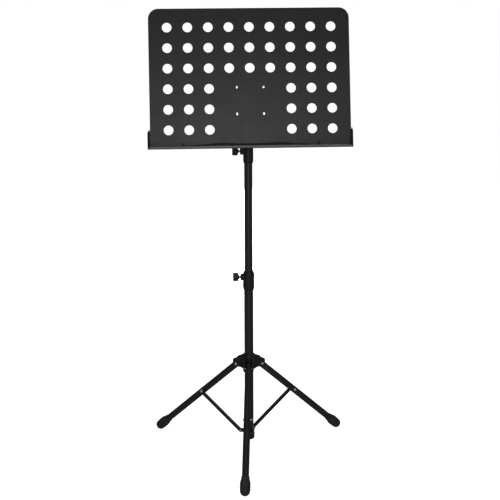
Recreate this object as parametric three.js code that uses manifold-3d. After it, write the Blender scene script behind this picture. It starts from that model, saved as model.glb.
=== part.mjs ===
// A music stand: a perforated sheet-steel desk on a telescopic mast with a folding tripod.
//
// Millimetres, +Z up. While the stand is put together the mast's axis is X = Y = 0, the floor is
// Z = 0 and the front leg points along -Y. At the end the whole group is moved so that its origin
// is the middle of the base of its bounding box.

import * as THREE from 'three';
import { mergeVertices } from 'three/addons/utils/BufferGeometryUtils.js';
import Module from 'manifold-3d';

const wasm = await Module();
wasm.setup();

// ---------------------------------------------------------------- driving dimensions

const GAP = 0.3; // air left between two pieces that touch
const ROUND = 20; // sides of a tube or a turned piece
const SMALL_ROUND = 10; // sides of a rivet or a screw
const HEX = 6; // sides of a nut or a bolt head
const CURVE_STEPS = 8; // straight lines that draw a rounded corner of a plate
const SMALL_CURVE_STEPS = 5; // the same for a small one
const PAST = 1; // how far a cutting solid runs out past the face it cuts
const WELD = 1e-4; // corners closer than this are one corner

// Desk panel: a sheet with a grid of round holes, left plain in the middle of its lower half.
const HOLE_PITCH = 50;
const HOLE_RADIUS = 11.9;
const HOLE_SIDES = 12;
const HOLE_COLUMNS = 9;
const HOLE_ROWS = 6;
const PLAIN_COLUMNS = 3;
const PLAIN_ROWS = 3;
const PANEL_WIDTH = 490;
const PANEL_TOP = 171; // heights on the desk are measured from the middle of the hole grid
const PANEL_BOTTOM = -164;
const PANEL_CORNER = 25;
const PANEL_FOOT_CHAMFER = 3;
const PANEL_THICKNESS = 1.5;

// Shelf: a pressed channel under the panel with a low front lip and an upright flange at each end.
const SHELF_SHEET = 1.2;
const SHELF_WIDTH = 494.8;
const SHELF_DEPTH = 40;
const SHELF_CORNER_HEIGHT = -164.7; // where the shelf's upper face meets the panel's front
const SHELF_DROP = THREE.MathUtils.degToRad(13); // the shelf falls away forwards by this much
const SHELF_LIP = 1.8; // the lip's height above the shelf
const SHELF_BACK_TOP = -147; // top of the strip behind the panel
const SHELF_SKEW = 0.08; // sideways lean of the channel for each millimetre forwards
const END_FLANGE_BACK = -122.5;
const END_FLANGE_FRONT = -133.5;
const END_FLANGE_CORNER = 10;
const END_FLANGE_CORNER_DROP = 7.5; // from the flange's front height down to its corner's middle
const SHELF_RIVET_OFFSET = 165;
const SHELF_RIVET_HEIGHT = -159.5;

// Desk bracket: a plate riveted behind the panel, with two ears that straddle the tilt head.
const BRACKET_SHEET = 2;
const BRACKET_SIDE = 84;
const BRACKET_RIVET_PITCH = 65.4;
const EAR_SHEET = 2.5;
const EAR_INNER = 12.2; // from the mast's axis to an ear's inner face
const EAR_BASE_HALF = 20;
const EAR_END_RADIUS = 11;
const EAR_WRAP = THREE.MathUtils.degToRad(75.6); // the round end reaches this far up and down

// Tilt pivot and the way the desk stands on it.
const PIVOT_HEIGHT = 921.7;
const PIVOT_TO_PANEL = 35.3; // from the tilt axis forwards to the panel's front
const PIVOT_BELOW_GRID = 55;
const PANEL_SIDE_OFFSET = 3.9; // the panel sits this far to the right of the mast
const DESK_TILT = THREE.MathUtils.degToRad(16.4); // backwards from upright
const DESK_TURN = THREE.MathUtils.degToRad(2.5); // round the mast

// Tilt head.
const HEAD_HALF_WIDTH = 11;
const HEAD_RADIUS = 10.5;
const HEAD_SOCKET_RADIUS = 11.5;
const HEAD_SOCKET_LENGTH = 45; // below the tilt axis
const HEAD_BORE_END = 28; // below the tilt axis
const TONGUE_START = 4; // above the bore's end
const SOCKET_END = 6; // above the bore's end
const TILT_BOLT_RADIUS = 3;
const TILT_BOLT_HEAD = 4; // thickness of the hexagonal head
const FRICTION_WASHER = { radius: 8, thickness: 0.6 };

// Mast tubes, outer radius and the wall they share.
const TUBE_WALL = 1.2;
const LOWER_TUBE = { radius: 11.5, bottom: 33, top: 483 };
const MID_TUBE = { radius: 10, bottom: 350, top: 809 };
const TOP_TUBE = { radius: 8.5, bottom: 600, top: 893 };
const END_CAP_BOTTOM = 29.2;
const PLUG_LENGTH = 13;
const GUIDE_FLANGE = 4;
const GUIDE_BORE = 4;

// Height collars, each with a boss for its clamp screw.
const LOWER_COLLAR = { radius: 14.2, bottom: 440.3, top: 489.1, screwHeight: 474.1 };
const UPPER_COLLAR = { radius: 12.5, bottom: 770.1, top: 814.5, screwHeight: 800.5 };
const COLLAR_SKIRT = 1.1; // wall of a collar at its lower rim
const COLLAR_CROWN = 1.8; // wall of a collar at its upper rim
const COLLAR_TAPER = 6; // length of each tapered end
const BOSS_RADIUS = 8.6;
const BOSS_FACE = 20.4; // from the mast's axis
const BOSS_EDGE = 1.5; // chamfer round the boss's face

// Clamp screws and their knobs, measured outwards from the mast's axis.
const SCREW_RADIUS = 3;
const SCREW_HOLE_RADIUS = 3.4;
const NUT_INNER = 13.5;
const NUT_THICKNESS = 5;
const NUT_CORNER_RADIUS = 5.77;
const NUT_POCKET_GAP = 0.4;
const KNOB_NECK = 24;
const KNOB_CAP = 26.4;
const KNOB_FACE = 39.8;
const KNOB_RADIUS = 10.85;
const KNOB_FLUTES = 8;
const KNOB_FLUTE_DEPTH = 0.8;
const KNOB_FLUTE_STEPS = 4; // straight lines that draw one flute
const KNOB_NECK_RADIUS = 4.4;
const KNOB_SHOULDER_RADIUS = 6.2;
const KNOB_BORE_DEPTH = 10;

// Leg hub: a sleeve that slides on the lower tube, with a pair of cheeks for each leg.
const HUB_BOTTOM = 221.3;
const HUB_TOP = 267.8;
const HUB_RADIUS = 16.8;
const HUB_FOOT = { radius: 12.6, taper: 8 }; // the hub's lower rim
const HUB_CROWN = { radius: 12.6, taper: 8 }; // the hub's upper rim
const HUB_SCREW_HEIGHT = 250;
const CHEEK_INNER = 9.4; // from the leg's middle plane
const CHEEK_THICKNESS = 3.5;
const CHEEK_ROOT = 8; // radius at which a cheek starts, inside the sleeve
const CHEEK_TIP = 41.3;
const CHEEK_LOWER_EDGE = [ // radius, and height over the hub's bottom
  [CHEEK_ROOT, 5],
  [19, 9],
  [CHEEK_TIP - 3, 8],
  [CHEEK_TIP, 11.5],
];
const CHEEK_UPPER_EDGE = [ // radius, and depth under the hub's top
  [CHEEK_TIP, 20],
  [CHEEK_TIP - 2.5, 17],
  [28, 12],
  [18, 5],
  [CHEEK_ROOT, 3],
];

// Legs. Their pivots, and the struts' two pivots, as radius from the mast and height.
// The front leg stands a little out of the even third, by the play in its cheeks.
const LEG_AZIMUTHS = { front: -93, right: 30, left: 150 };
const LEG_PIVOT = { radius: 33, height: 236.3 };
const FOOT = { radius: 278.2, height: 11.6 };
const LEG_RADIUS = 8.6;
const LEG_PIN_RADIUS = 2.5;
const LEG_TOP = 11; // tube beyond the pivot
const LEG_TUBE_END = 5.5; // from the tube's end to the middle of the foot's ball
const BOOT_RADIUS = 12.4;
const BOOT_RIM_RADIUS = 9.8;
const BOOT_SWELL = { length: 24, radius: 10.9 }; // where the sleeve starts to swell into the ball
const BOOT_SLEEVE = 37; // from the boot's rim to the middle of the foot's ball
const BOOT_BALL_TURNS = [22, 45, 68]; // degrees past the ball's widest ring
const FLOOR_SLAB = { width: 100, depth: 20 }; // trims each boot flat on the floor

// Struts and the fixed spreader hub below.
const STRUT_ON_LEG = 142.9; // along the leg from its pivot
const STRUT_FOOT = { radius: 19.2, height: 52.3 };
const STRUT_INNER = 11.2; // from the leg's middle plane
const STRUT_THICKNESS = 3;
const STRUT_HALF_WIDTH = 5;
const STRUT_WEB = 1.4;
const SPREADER_BOTTOM = 31.5;
const SPREADER_TOP = 57.5;
const SPREADER_RADIUS = 13.9;
const SPREADER_EDGE = 1.5; // chamfer round the spreader's lower rim
const LUG_INNER = 6.5; // from the leg's middle plane
const LUG_THICKNESS = 4.4;
const LUG_RADIUS = 4.5;
const LUG_ROOT = 3; // radius at which a lug starts, inside the ring
const STRUT_PIN_RADIUS = 2;
const PIN_CLEARANCE = 0.4;

// Rivet heads, and where their domes turn over as a part of the radius and of the height.
const RIVET_HEAD = { radius: 3.6, height: 1.6 };
const LEG_PIN_HEAD = { radius: 3.6, height: 1.6 };
const STRUT_PIN_HEAD = { radius: 3.2, height: 0.9 };
const RIVET_DOME = 0.75;
const SHEET_HOLE_SIDES = 8; // sides of a rivet hole in sheet

// ---------------------------------------------------------------- finishes

const FINISHES = {
  panelPaint: { color: 0x2b2b2d, roughness: 0.55, metalness: 0.2 },
  tubePaint: { color: 0x18181a, roughness: 0.4, metalness: 0.3 },
  plastic: { color: 0x141416, roughness: 0.55, metalness: 0 },
  knobPlastic: { color: 0x0e0e10, roughness: 0.45, metalness: 0 },
  rubber: { color: 0x121212, roughness: 0.85, metalness: 0 },
  zinc: { color: 0xb8bcc0, roughness: 0.35, metalness: 0.9 },
};

// ---------------------------------------------------------------- shape helpers

/** A named mesh with its own material. */
function piece(name, geometry, finish) {
  const mesh = new THREE.Mesh(geometry, new THREE.MeshStandardMaterial(FINISHES[finish]));
  mesh.name = name;
  return mesh;
}

/** A solid for boolean work, from a closed geometry. */
function solid(geometry) {
  const bare = geometry.clone();
  bare.deleteAttribute('normal');
  bare.deleteAttribute('uv');
  const merged = mergeVertices(bare, WELD);
  return new wasm.Manifold(new wasm.Mesh({
    numProp: 3,
    vertProperties: new Float32Array(merged.attributes.position.array),
    triVerts: new Uint32Array(merged.index.array),
  }));
}

/** A geometry again, from the result of boolean work. */
function geometryOf(manifold) {
  const mesh = manifold.getMesh();
  const geometry = new THREE.BufferGeometry();
  geometry.setAttribute('position', new THREE.BufferAttribute(mesh.vertProperties, 3));
  geometry.setIndex(new THREE.BufferAttribute(mesh.triVerts, 1));
  geometry.computeVertexNormals();
  return geometry;
}

/** One geometry with others joined to it and others cut from it. */
function built({ join, cut = [] }) {
  const whole = join.map(solid).reduce((sum, next) => sum.add(next));
  return geometryOf(cut.map(solid).reduce((rest, next) => rest.subtract(next), whole));
}

/** A piece turned about Z, from [radius, height] pairs listed up its outside. */
function turned(profile, sides = ROUND) {
  const points = profile.map(([radius, height]) => new THREE.Vector2(radius, height));
  return new THREE.LatheGeometry(points, sides).rotateX(Math.PI / 2);
}

/** A tube about Z. */
function tube(inner, outer, bottom, top, sides = ROUND) {
  return turned([[inner, bottom], [outer, bottom], [outer, top], [inner, top], [inner, bottom]], sides);
}

/** A solid rod about Z. */
function rod(radius, bottom, top, sides = ROUND) {
  return turned([[0, bottom], [radius, bottom], [radius, top], [0, top]], sides);
}

/** Turns a geometry built about +Z so that it lies along +X, or +Y. */
const alongX = (geometry) => geometry.rotateY(Math.PI / 2);
const alongY = (geometry) => geometry.rotateX(-Math.PI / 2);

/** An outline from [x, y] pairs. */
function outline(points) {
  return new THREE.Shape(points.map(([x, y]) => new THREE.Vector2(x, y)));
}

/** A plate standing in the XZ plane, its outline drawn in X and Z, from Y = from to Y = to. */
function plateXZ(shape, from, to, curveSegments = CURVE_STEPS) {
  const settings = { depth: to - from, bevelEnabled: false, curveSegments };
  return new THREE.ExtrudeGeometry(shape, settings).rotateX(Math.PI / 2).translate(0, to, 0);
}

/** A plate standing in the YZ plane, its outline drawn in Y and Z, from X = from to X = to. */
function plateYZ(shape, from, to, curveSegments = CURVE_STEPS) {
  const settings = { depth: to - from, bevelEnabled: false, curveSegments };
  const flat = new THREE.ExtrudeGeometry(shape, settings);
  const axes = new THREE.Matrix4().set(0, 0, 1, from, 1, 0, 0, 0, 0, 1, 0, 0, 0, 0, 0, 1);
  return flat.applyMatrix4(axes);
}

/** A round hole in an outline. */
function roundHole(x, y, radius, sides) {
  const corner = (index) => [
    x + radius * Math.cos((index * 2 * Math.PI) / sides),
    y + radius * Math.sin((index * 2 * Math.PI) / sides),
  ];
  return outline(Array.from({ length: sides }, (_, index) => corner(index)));
}

/** The outline of a low domed rivet head on +Z: its flat face at height 0. */
function rivetHead({ radius, height }) {
  return [[radius, 0], [radius * RIVET_DOME, height * RIVET_DOME], [0, height]];
}

/** A rivet about Z with a head at each end of its shank. */
function doubleRivet(shankRadius, from, to, head = RIVET_HEAD) {
  const upper = rivetHead(head).map(([r, z]) => [r, to + z]);
  const lower = rivetHead(head).map(([r, z]) => [r, from - z]).reverse();
  return turned([...lower, [shankRadius, from], [shankRadius, to], ...upper], SMALL_ROUND);
}

/** A rivet about Z with a head at the top of its shank only. */
function singleRivet(shankRadius, from, to) {
  const upper = rivetHead(RIVET_HEAD).map(([r, z]) => [r, to + z]);
  return turned([[0, from], [shankRadius, from], [shankRadius, to], ...upper], SMALL_ROUND);
}

// ---------------------------------------------------------------- clamp screws, nuts and knobs
// These are drawn along +X outwards from the mast's axis, and a turned group aims them.

/** The boss that a clamp screw runs in. */
function boss() {
  return alongX(turned([
    [0, 0],
    [BOSS_RADIUS, 0],
    [BOSS_RADIUS, BOSS_FACE - BOSS_EDGE],
    [BOSS_RADIUS - BOSS_EDGE, BOSS_FACE],
    [0, BOSS_FACE],
  ]));
}

/** What is cut from a boss: the screw's hole and the nut's pocket. */
function bossCuts() {
  const hole = alongX(rod(SCREW_HOLE_RADIUS, 0, BOSS_FACE + PAST, SMALL_ROUND));
  const pocketRadius = NUT_CORNER_RADIUS + NUT_POCKET_GAP;
  const pocket = alongX(rod(pocketRadius, NUT_INNER - GAP, NUT_INNER + NUT_THICKNESS + GAP, HEX));
  return [hole, pocket];
}

function clampNut(name) {
  const outer = NUT_INNER + NUT_THICKNESS;
  const body = alongX(rod(NUT_CORNER_RADIUS, NUT_INNER, outer, HEX));
  const thread = alongX(rod(SCREW_HOLE_RADIUS, NUT_INNER - PAST, outer + PAST, SMALL_ROUND));
  return piece(name, built({ join: [body], cut: [thread] }), 'zinc');
}

function clampScrew(name, tip) {
  const end = KNOB_NECK + KNOB_BORE_DEPTH - GAP;
  return piece(name, alongX(rod(SCREW_RADIUS, tip, end, SMALL_ROUND)), 'zinc');
}

/** A fluted cap on a short conical neck, with a blind bore for the screw. */
function knob(name, neckStart = KNOB_NECK) {
  const corners = KNOB_FLUTES * KNOB_FLUTE_STEPS;
  const points = Array.from({ length: corners }, (_, index) => {
    const angle = (index * 2 * Math.PI) / corners;
    const radius = KNOB_RADIUS - KNOB_FLUTE_DEPTH * (0.5 - 0.5 * Math.cos(angle * KNOB_FLUTES));
    return [radius * Math.cos(angle), radius * Math.sin(angle)];
  });
  const capStart = neckStart + KNOB_CAP - KNOB_NECK;
  const capEnd = neckStart + KNOB_FACE - KNOB_NECK;
  const cap = plateYZ(outline(points), capStart, capEnd);
  const neck = alongX(turned([
    [0, neckStart],
    [KNOB_NECK_RADIUS, neckStart],
    [KNOB_SHOULDER_RADIUS, capStart + PAST],
    [0, capStart + PAST],
  ]));
  const boreEnd = neckStart + KNOB_BORE_DEPTH;
  const bore = alongX(rod(SCREW_RADIUS + GAP, neckStart - PAST, boreEnd, SMALL_ROUND));
  return piece(name, built({ join: [cap, neck], cut: [bore] }), 'knobPlastic');
}

/** A group at a height on the mast whose +X points along an azimuth. */
function station(azimuth, height, ...children) {
  const group = new THREE.Group();
  group.rotation.z = THREE.MathUtils.degToRad(azimuth);
  group.position.z = height;
  group.add(...children);
  return group;
}

// ---------------------------------------------------------------- mast

/** A mast tube with a hole for a clamp screw on the -X side at a height. */
function mastTube(name, { radius, bottom, top }, holeHeight) {
  const wall = tube(radius - TUBE_WALL, radius, bottom, top);
  const hole = alongX(rod(SCREW_HOLE_RADIUS + GAP, -radius - PAST, 0, SMALL_ROUND));
  return piece(name, built({ join: [wall], cut: [hole.translate(0, 0, holeHeight)] }), 'tubePaint');
}

/** A plastic bush pushed into a tube's lower end, with a flange under the tube. */
function tubePlug(name, { radius, bottom }, flangeBottom, bore) {
  const plugRadius = radius - TUBE_WALL - GAP;
  const flangeTop = bottom - GAP;
  const plugTop = bottom + PLUG_LENGTH;
  const start = bore > 0 ? [[bore, flangeBottom]] : [[0, flangeBottom]];
  const profile = [
    ...start,
    [radius, flangeBottom],
    [radius, flangeTop],
    [plugRadius, flangeTop],
    [plugRadius, plugTop],
    [bore, plugTop],
    ...(bore > 0 ? start : []),
  ];
  return piece(name, turned(profile), 'plastic');
}

/** A clamp collar, stepped inside: the outer tube ends in it and the inner tube slides through. */
function heightCollar(name, { radius, bottom, top, screwHeight }, outerTube, innerTube) {
  const body = turned([
    [0, bottom],
    [outerTube.radius + COLLAR_SKIRT, bottom],
    [radius, bottom + COLLAR_TAPER],
    [radius, top - COLLAR_TAPER],
    [innerTube.radius + COLLAR_CROWN, top],
    [0, top],
  ]);
  const outerBore = rod(outerTube.radius + GAP, bottom - PAST, outerTube.top + GAP);
  const innerBore = rod(innerTube.radius + GAP, bottom - PAST, top + PAST);
  const aim = (geometry) => geometry.rotateZ(Math.PI).translate(0, 0, screwHeight);
  return piece(name, built({
    join: [body, aim(boss())],
    cut: [outerBore, innerBore, ...bossCuts().map(aim)],
  }), 'plastic');
}

// ---------------------------------------------------------------- tripod

/** The two cheeks that hold one leg, in a frame whose +X points along the leg's azimuth. */
function cheeks() {
  const side = outline([
    ...CHEEK_LOWER_EDGE.map(([radius, height]) => [radius, HUB_BOTTOM + height]),
    ...CHEEK_UPPER_EDGE.map(([radius, depth]) => [radius, HUB_TOP - depth]),
  ]);
  const pinHole = LEG_PIN_RADIUS + PIN_CLEARANCE;
  side.holes.push(roundHole(LEG_PIVOT.radius, LEG_PIVOT.height, pinHole, SMALL_ROUND));
  const outer = CHEEK_INNER + CHEEK_THICKNESS;
  return [plateXZ(side, CHEEK_INNER, outer), plateXZ(side, -outer, -CHEEK_INNER)];
}

function legHub() {
  const body = turned([
    [0, HUB_BOTTOM],
    [HUB_FOOT.radius, HUB_BOTTOM],
    [HUB_RADIUS, HUB_BOTTOM + HUB_FOOT.taper],
    [HUB_RADIUS, HUB_TOP - HUB_CROWN.taper],
    [HUB_CROWN.radius, HUB_TOP],
    [0, HUB_TOP],
  ]);
  const ears = Object.values(LEG_AZIMUTHS).flatMap((azimuth) => {
    const turn = THREE.MathUtils.degToRad(azimuth);
    return cheeks().map((cheek) => cheek.rotateZ(turn));
  });
  const aim = (geometry) => geometry.rotateZ(Math.PI / 2).translate(0, 0, HUB_SCREW_HEIGHT);
  const bore = rod(LOWER_TUBE.radius + GAP, HUB_BOTTOM - PAST, HUB_TOP + PAST);
  return piece('leg_hub', built({
    join: [body, ...ears, aim(boss())],
    cut: [bore, ...bossCuts().map(aim)],
  }), 'plastic');
}

/** The spreader hub: a ring fixed round the foot of the mast, with one lug beside each leg. */
function spreaderHub() {
  const ring = turned([
    [0, SPREADER_BOTTOM],
    [SPREADER_RADIUS - SPREADER_EDGE, SPREADER_BOTTOM],
    [SPREADER_RADIUS, SPREADER_BOTTOM + SPREADER_EDGE],
    [SPREADER_RADIUS, SPREADER_TOP],
    [0, SPREADER_TOP],
  ]);
  const pinHole = STRUT_PIN_RADIUS + PIN_CLEARANCE;
  const lugs = Object.values(LEG_AZIMUTHS).map((azimuth) => {
    const side = new THREE.Shape();
    side.moveTo(LUG_ROOT, STRUT_FOOT.height - LUG_RADIUS);
    side.lineTo(STRUT_FOOT.radius, STRUT_FOOT.height - LUG_RADIUS);
    side.absarc(STRUT_FOOT.radius, STRUT_FOOT.height, LUG_RADIUS, -Math.PI / 2, Math.PI / 2, false);
    side.lineTo(LUG_ROOT, STRUT_FOOT.height + LUG_RADIUS);
    side.holes.push(roundHole(STRUT_FOOT.radius, STRUT_FOOT.height, pinHole, SMALL_ROUND));
    return plateXZ(side, LUG_INNER, LUG_INNER + LUG_THICKNESS, SMALL_CURVE_STEPS)
      .rotateZ(THREE.MathUtils.degToRad(azimuth));
  });
  const bore = rod(LOWER_TUBE.radius + GAP, SPREADER_BOTTOM - PAST, SPREADER_TOP + PAST);
  return piece('spreader_hub', built({ join: [ring, ...lugs], cut: [bore] }), 'plastic');
}

/** How far a leg's axis falls below level, and its length from pivot to the foot's ball. */
const legDrop = Math.atan2(LEG_PIVOT.height - FOOT.height, FOOT.radius - LEG_PIVOT.radius);
const legLength = Math.hypot(LEG_PIVOT.height - FOOT.height, FOOT.radius - LEG_PIVOT.radius);

/** Moves a geometry drawn along +X from a leg's pivot into the leg's place. */
function alongLeg(geometry) {
  return geometry.rotateY(legDrop).translate(LEG_PIVOT.radius, 0, LEG_PIVOT.height);
}

function legTube(side) {
  const end = legLength - LEG_TUBE_END;
  const wall = alongX(tube(LEG_RADIUS - TUBE_WALL, LEG_RADIUS, -LEG_TOP, end));
  const reach = LEG_RADIUS + PAST;
  const pinHole = alongY(rod(LEG_PIN_RADIUS + PIN_CLEARANCE, -reach, reach, SMALL_ROUND));
  const rivetHole = alongY(rod(STRUT_PIN_RADIUS + PIN_CLEARANCE, -reach, reach, SMALL_ROUND));
  const holes = [pinHole, rivetHole.translate(STRUT_ON_LEG, 0, 0)];
  return piece(`leg_tube_${side}`, alongLeg(built({ join: [wall], cut: holes })), 'tubePaint');
}

/** A rubber boot: a sleeve over the leg's end that swells into a ball, worn flat on the floor. */
function legBoot(side) {
  const start = legLength - BOOT_SLEEVE;
  const cavityEnd = legLength - LEG_TUBE_END + GAP;
  const ball = BOOT_BALL_TURNS.map((degrees) => {
    const angle = THREE.MathUtils.degToRad(degrees);
    return [BOOT_RADIUS * Math.cos(angle), legLength + BOOT_RADIUS * Math.sin(angle)];
  });
  const boot = alongX(turned([
    [0, cavityEnd],
    [LEG_RADIUS + GAP, cavityEnd],
    [LEG_RADIUS + GAP, start],
    [BOOT_RIM_RADIUS, start],
    [BOOT_SWELL.radius, start + BOOT_SWELL.length],
    [BOOT_RADIUS, legLength],
    ...ball,
    [0, legLength + BOOT_RADIUS],
  ]));
  const { width, depth } = FLOOR_SLAB;
  const floor = new THREE.BoxGeometry(width, width, depth).translate(FOOT.radius, 0, -depth / 2);
  return piece(`leg_boot_${side}`, built({ join: [alongLeg(boot)], cut: [floor] }), 'rubber');
}

function legPin(side) {
  const half = CHEEK_INNER + CHEEK_THICKNESS + GAP;
  const pin = alongY(doubleRivet(LEG_PIN_RADIUS, -half, half, LEG_PIN_HEAD));
  return piece(`leg_pin_${side}`, alongLeg(pin), 'zinc');
}

/** The strut's rivet is in two halves, one in the leg and one in the strut. */
function legRivet(side) {
  const rivet = singleRivet(STRUT_PIN_RADIUS, -LEG_RADIUS - GAP * 2, LEG_RADIUS + GAP);
  const headOutwards = alongY(rivet).rotateZ(Math.PI).translate(STRUT_ON_LEG, 0, 0);
  return piece(`leg_rivet_${side}`, alongLeg(headOutwards), 'zinc');
}

/** A strut's slope, its length between pivots, and a way to place what is drawn along it. */
const strutTop = {
  radius: LEG_PIVOT.radius + STRUT_ON_LEG * Math.cos(legDrop),
  height: LEG_PIVOT.height - STRUT_ON_LEG * Math.sin(legDrop),
};
const strutSpan = {
  out: strutTop.radius - STRUT_FOOT.radius,
  up: strutTop.height - STRUT_FOOT.height,
};
const strutRise = Math.atan2(strutSpan.up, strutSpan.out);
const strutLength = Math.hypot(strutSpan.up, strutSpan.out);

function alongStrut(geometry) {
  return geometry.rotateY(-strutRise).translate(STRUT_FOOT.radius, 0, STRUT_FOOT.height);
}

/** A long outline with round ends about the two pivots of a strut. */
function strutOutline(halfWidth) {
  const shape = new THREE.Shape();
  shape.absarc(strutLength, 0, halfWidth, -Math.PI / 2, Math.PI / 2, false);
  shape.absarc(0, 0, halfWidth, Math.PI / 2, Math.PI * 1.5, false);
  return shape;
}

/** A pressed steel channel, open towards the leg. */
function strut(side) {
  const outer = STRUT_INNER + STRUT_THICKNESS;
  const body = plateXZ(strutOutline(STRUT_HALF_WIDTH), STRUT_INNER, outer, SMALL_CURVE_STEPS);
  const hollowShape = strutOutline(STRUT_HALF_WIDTH - STRUT_WEB);
  const hollowEnd = outer - STRUT_WEB;
  const hollow = plateXZ(hollowShape, STRUT_INNER - PAST, hollowEnd, SMALL_CURVE_STEPS);
  const holeRadius = STRUT_PIN_RADIUS + PIN_CLEARANCE;
  const holes = [0, strutLength].map((x) => {
    const hole = alongY(rod(holeRadius, STRUT_INNER - PAST, outer + PAST, SMALL_ROUND));
    return hole.translate(x, 0, 0);
  });
  const geometry = built({ join: [body], cut: [hollow, ...holes] });
  return piece(`strut_${side}`, alongStrut(geometry), 'tubePaint');
}

function strutRivet(side) {
  const outer = STRUT_INNER + STRUT_THICKNESS + GAP;
  const inner = LEG_RADIUS + GAP * 3;
  const rivet = alongY(singleRivet(STRUT_PIN_RADIUS, inner, outer)).translate(strutLength, 0, 0);
  return piece(`strut_rivet_${side}`, alongStrut(rivet), 'zinc');
}

function strutPin(side) {
  const outer = STRUT_INNER + STRUT_THICKNESS + GAP;
  const rivet = doubleRivet(STRUT_PIN_RADIUS, LUG_INNER - GAP, outer, STRUT_PIN_HEAD);
  const geometry = alongY(rivet).translate(STRUT_FOOT.radius, 0, STRUT_FOOT.height);
  return piece(`strut_pin_${side}`, geometry, 'zinc');
}

/** One leg with its boot, pin, strut and rivets, in a frame whose +X is the leg's azimuth. */
function legStation([side, azimuth]) {
  return station(
    azimuth,
    0,
    legTube(side),
    legBoot(side),
    legPin(side),
    legRivet(side),
    strut(side),
    strutRivet(side),
    strutPin(side),
  );
}

function tripod() {
  const group = new THREE.Group();
  group.add(
    legHub(),
    station(90, HUB_SCREW_HEIGHT, clampNut('hub_nut')),
    station(90, HUB_SCREW_HEIGHT, clampScrew('hub_screw', LOWER_TUBE.radius + GAP)),
    station(90, HUB_SCREW_HEIGHT, knob('hub_knob')),
    spreaderHub(),
    ...Object.entries(LEG_AZIMUTHS).map(legStation),
  );
  return group;
}

// ---------------------------------------------------------------- mast assembly

function mast() {
  const { radius, bottom, top } = TOP_TUBE;
  const group = new THREE.Group();
  group.add(
    mastTube('lower_tube', LOWER_TUBE, LOWER_COLLAR.screwHeight),
    tubePlug('mast_end_cap', LOWER_TUBE, END_CAP_BOTTOM, 0),
    heightCollar('lower_collar', LOWER_COLLAR, LOWER_TUBE, MID_TUBE),
    mastTube('mid_tube', MID_TUBE, UPPER_COLLAR.screwHeight),
    tubePlug('mid_guide', MID_TUBE, MID_TUBE.bottom - GUIDE_FLANGE, GUIDE_BORE),
    heightCollar('upper_collar', UPPER_COLLAR, MID_TUBE, TOP_TUBE),
    piece('top_tube', tube(radius - TUBE_WALL, radius, bottom, top), 'tubePaint'),
    tubePlug('top_guide', TOP_TUBE, TOP_TUBE.bottom - GUIDE_FLANGE, GUIDE_BORE),
  );
  const clamps = [
    ['lower', LOWER_COLLAR.screwHeight, MID_TUBE.radius],
    ['upper', UPPER_COLLAR.screwHeight, TOP_TUBE.radius],
  ];
  clamps.forEach(([place, height, gripped]) => {
    group.add(
      station(180, height, clampNut(`${place}_nut`)),
      station(180, height, clampScrew(`${place}_screw`, gripped + GAP)),
      station(180, height, knob(`${place}_knob`)),
    );
  });
  return group;
}

// ---------------------------------------------------------------- desk
// Drawn in a frame at the tilt axis: X along the axis, Y backwards, Z up the panel. Across the
// panel, positions are measured from the middle of the hole grid.

const GRID_MIDDLE = new THREE.Vector3(PANEL_SIDE_OFFSET, -PIVOT_TO_PANEL, PIVOT_BELOW_GRID);

/** Moves a geometry drawn round the hole grid's middle, on the panel's front face. */
function onPanel(geometry) {
  return geometry.translate(GRID_MIDDLE.x, GRID_MIDDLE.y, GRID_MIDDLE.z);
}

/** The hole centres: the whole grid but for the plain field in the middle of the lower rows. */
function holeCentres() {
  const centres = [];
  for (let row = 0; row < HOLE_ROWS; row += 1) {
    for (let column = 0; column < HOLE_COLUMNS; column += 1) {
      const fromMiddle = column - (HOLE_COLUMNS - 1) / 2;
      const isPlain = row < PLAIN_ROWS && Math.abs(fromMiddle) <= (PLAIN_COLUMNS - 1) / 2;
      if (!isPlain) {
        centres.push([fromMiddle * HOLE_PITCH, (row - (HOLE_ROWS - 1) / 2) * HOLE_PITCH]);
      }
    }
  }
  return centres;
}

const SHELF_RIVETS = [-SHELF_RIVET_OFFSET, SHELF_RIVET_OFFSET].map((x) => [x, SHELF_RIVET_HEIGHT]);
const BRACKET_RIVETS = [[-1, -1], [1, -1], [-1, 1], [1, 1]].map(([x, z]) => [
  (x * BRACKET_RIVET_PITCH) / 2,
  (z * BRACKET_RIVET_PITCH) / 2 - PIVOT_BELOW_GRID,
]);

function deskPanel() {
  const half = PANEL_WIDTH / 2;
  const footHalf = half - PANEL_FOOT_CHAMFER;
  const footTop = PANEL_BOTTOM + PANEL_FOOT_CHAMFER;
  const cornerX = half - PANEL_CORNER;
  const cornerZ = PANEL_TOP - PANEL_CORNER;
  const shape = new THREE.Shape();
  shape.moveTo(-footHalf, PANEL_BOTTOM);
  shape.lineTo(footHalf, PANEL_BOTTOM);
  shape.lineTo(half, footTop);
  shape.absarc(cornerX, cornerZ, PANEL_CORNER, 0, Math.PI / 2, false);
  shape.absarc(-cornerX, cornerZ, PANEL_CORNER, Math.PI / 2, Math.PI, false);
  shape.lineTo(-half, footTop);
  holeCentres().forEach(([x, z]) => shape.holes.push(roundHole(x, z, HOLE_RADIUS, HOLE_SIDES)));
  [...SHELF_RIVETS, ...BRACKET_RIVETS].forEach(([x, z]) => {
    shape.holes.push(roundHole(x, z, STRUT_PIN_RADIUS + GAP, SHEET_HOLE_SIDES));
  });
  return piece('desk_panel', onPanel(plateXZ(shape, 0, PANEL_THICKNESS)), 'panelPaint');
}

/** The shelf's upper face, as a height for each distance behind the panel's front. */
const shelfTop = (y) => SHELF_CORNER_HEIGHT + Math.tan(SHELF_DROP) * y;

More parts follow.
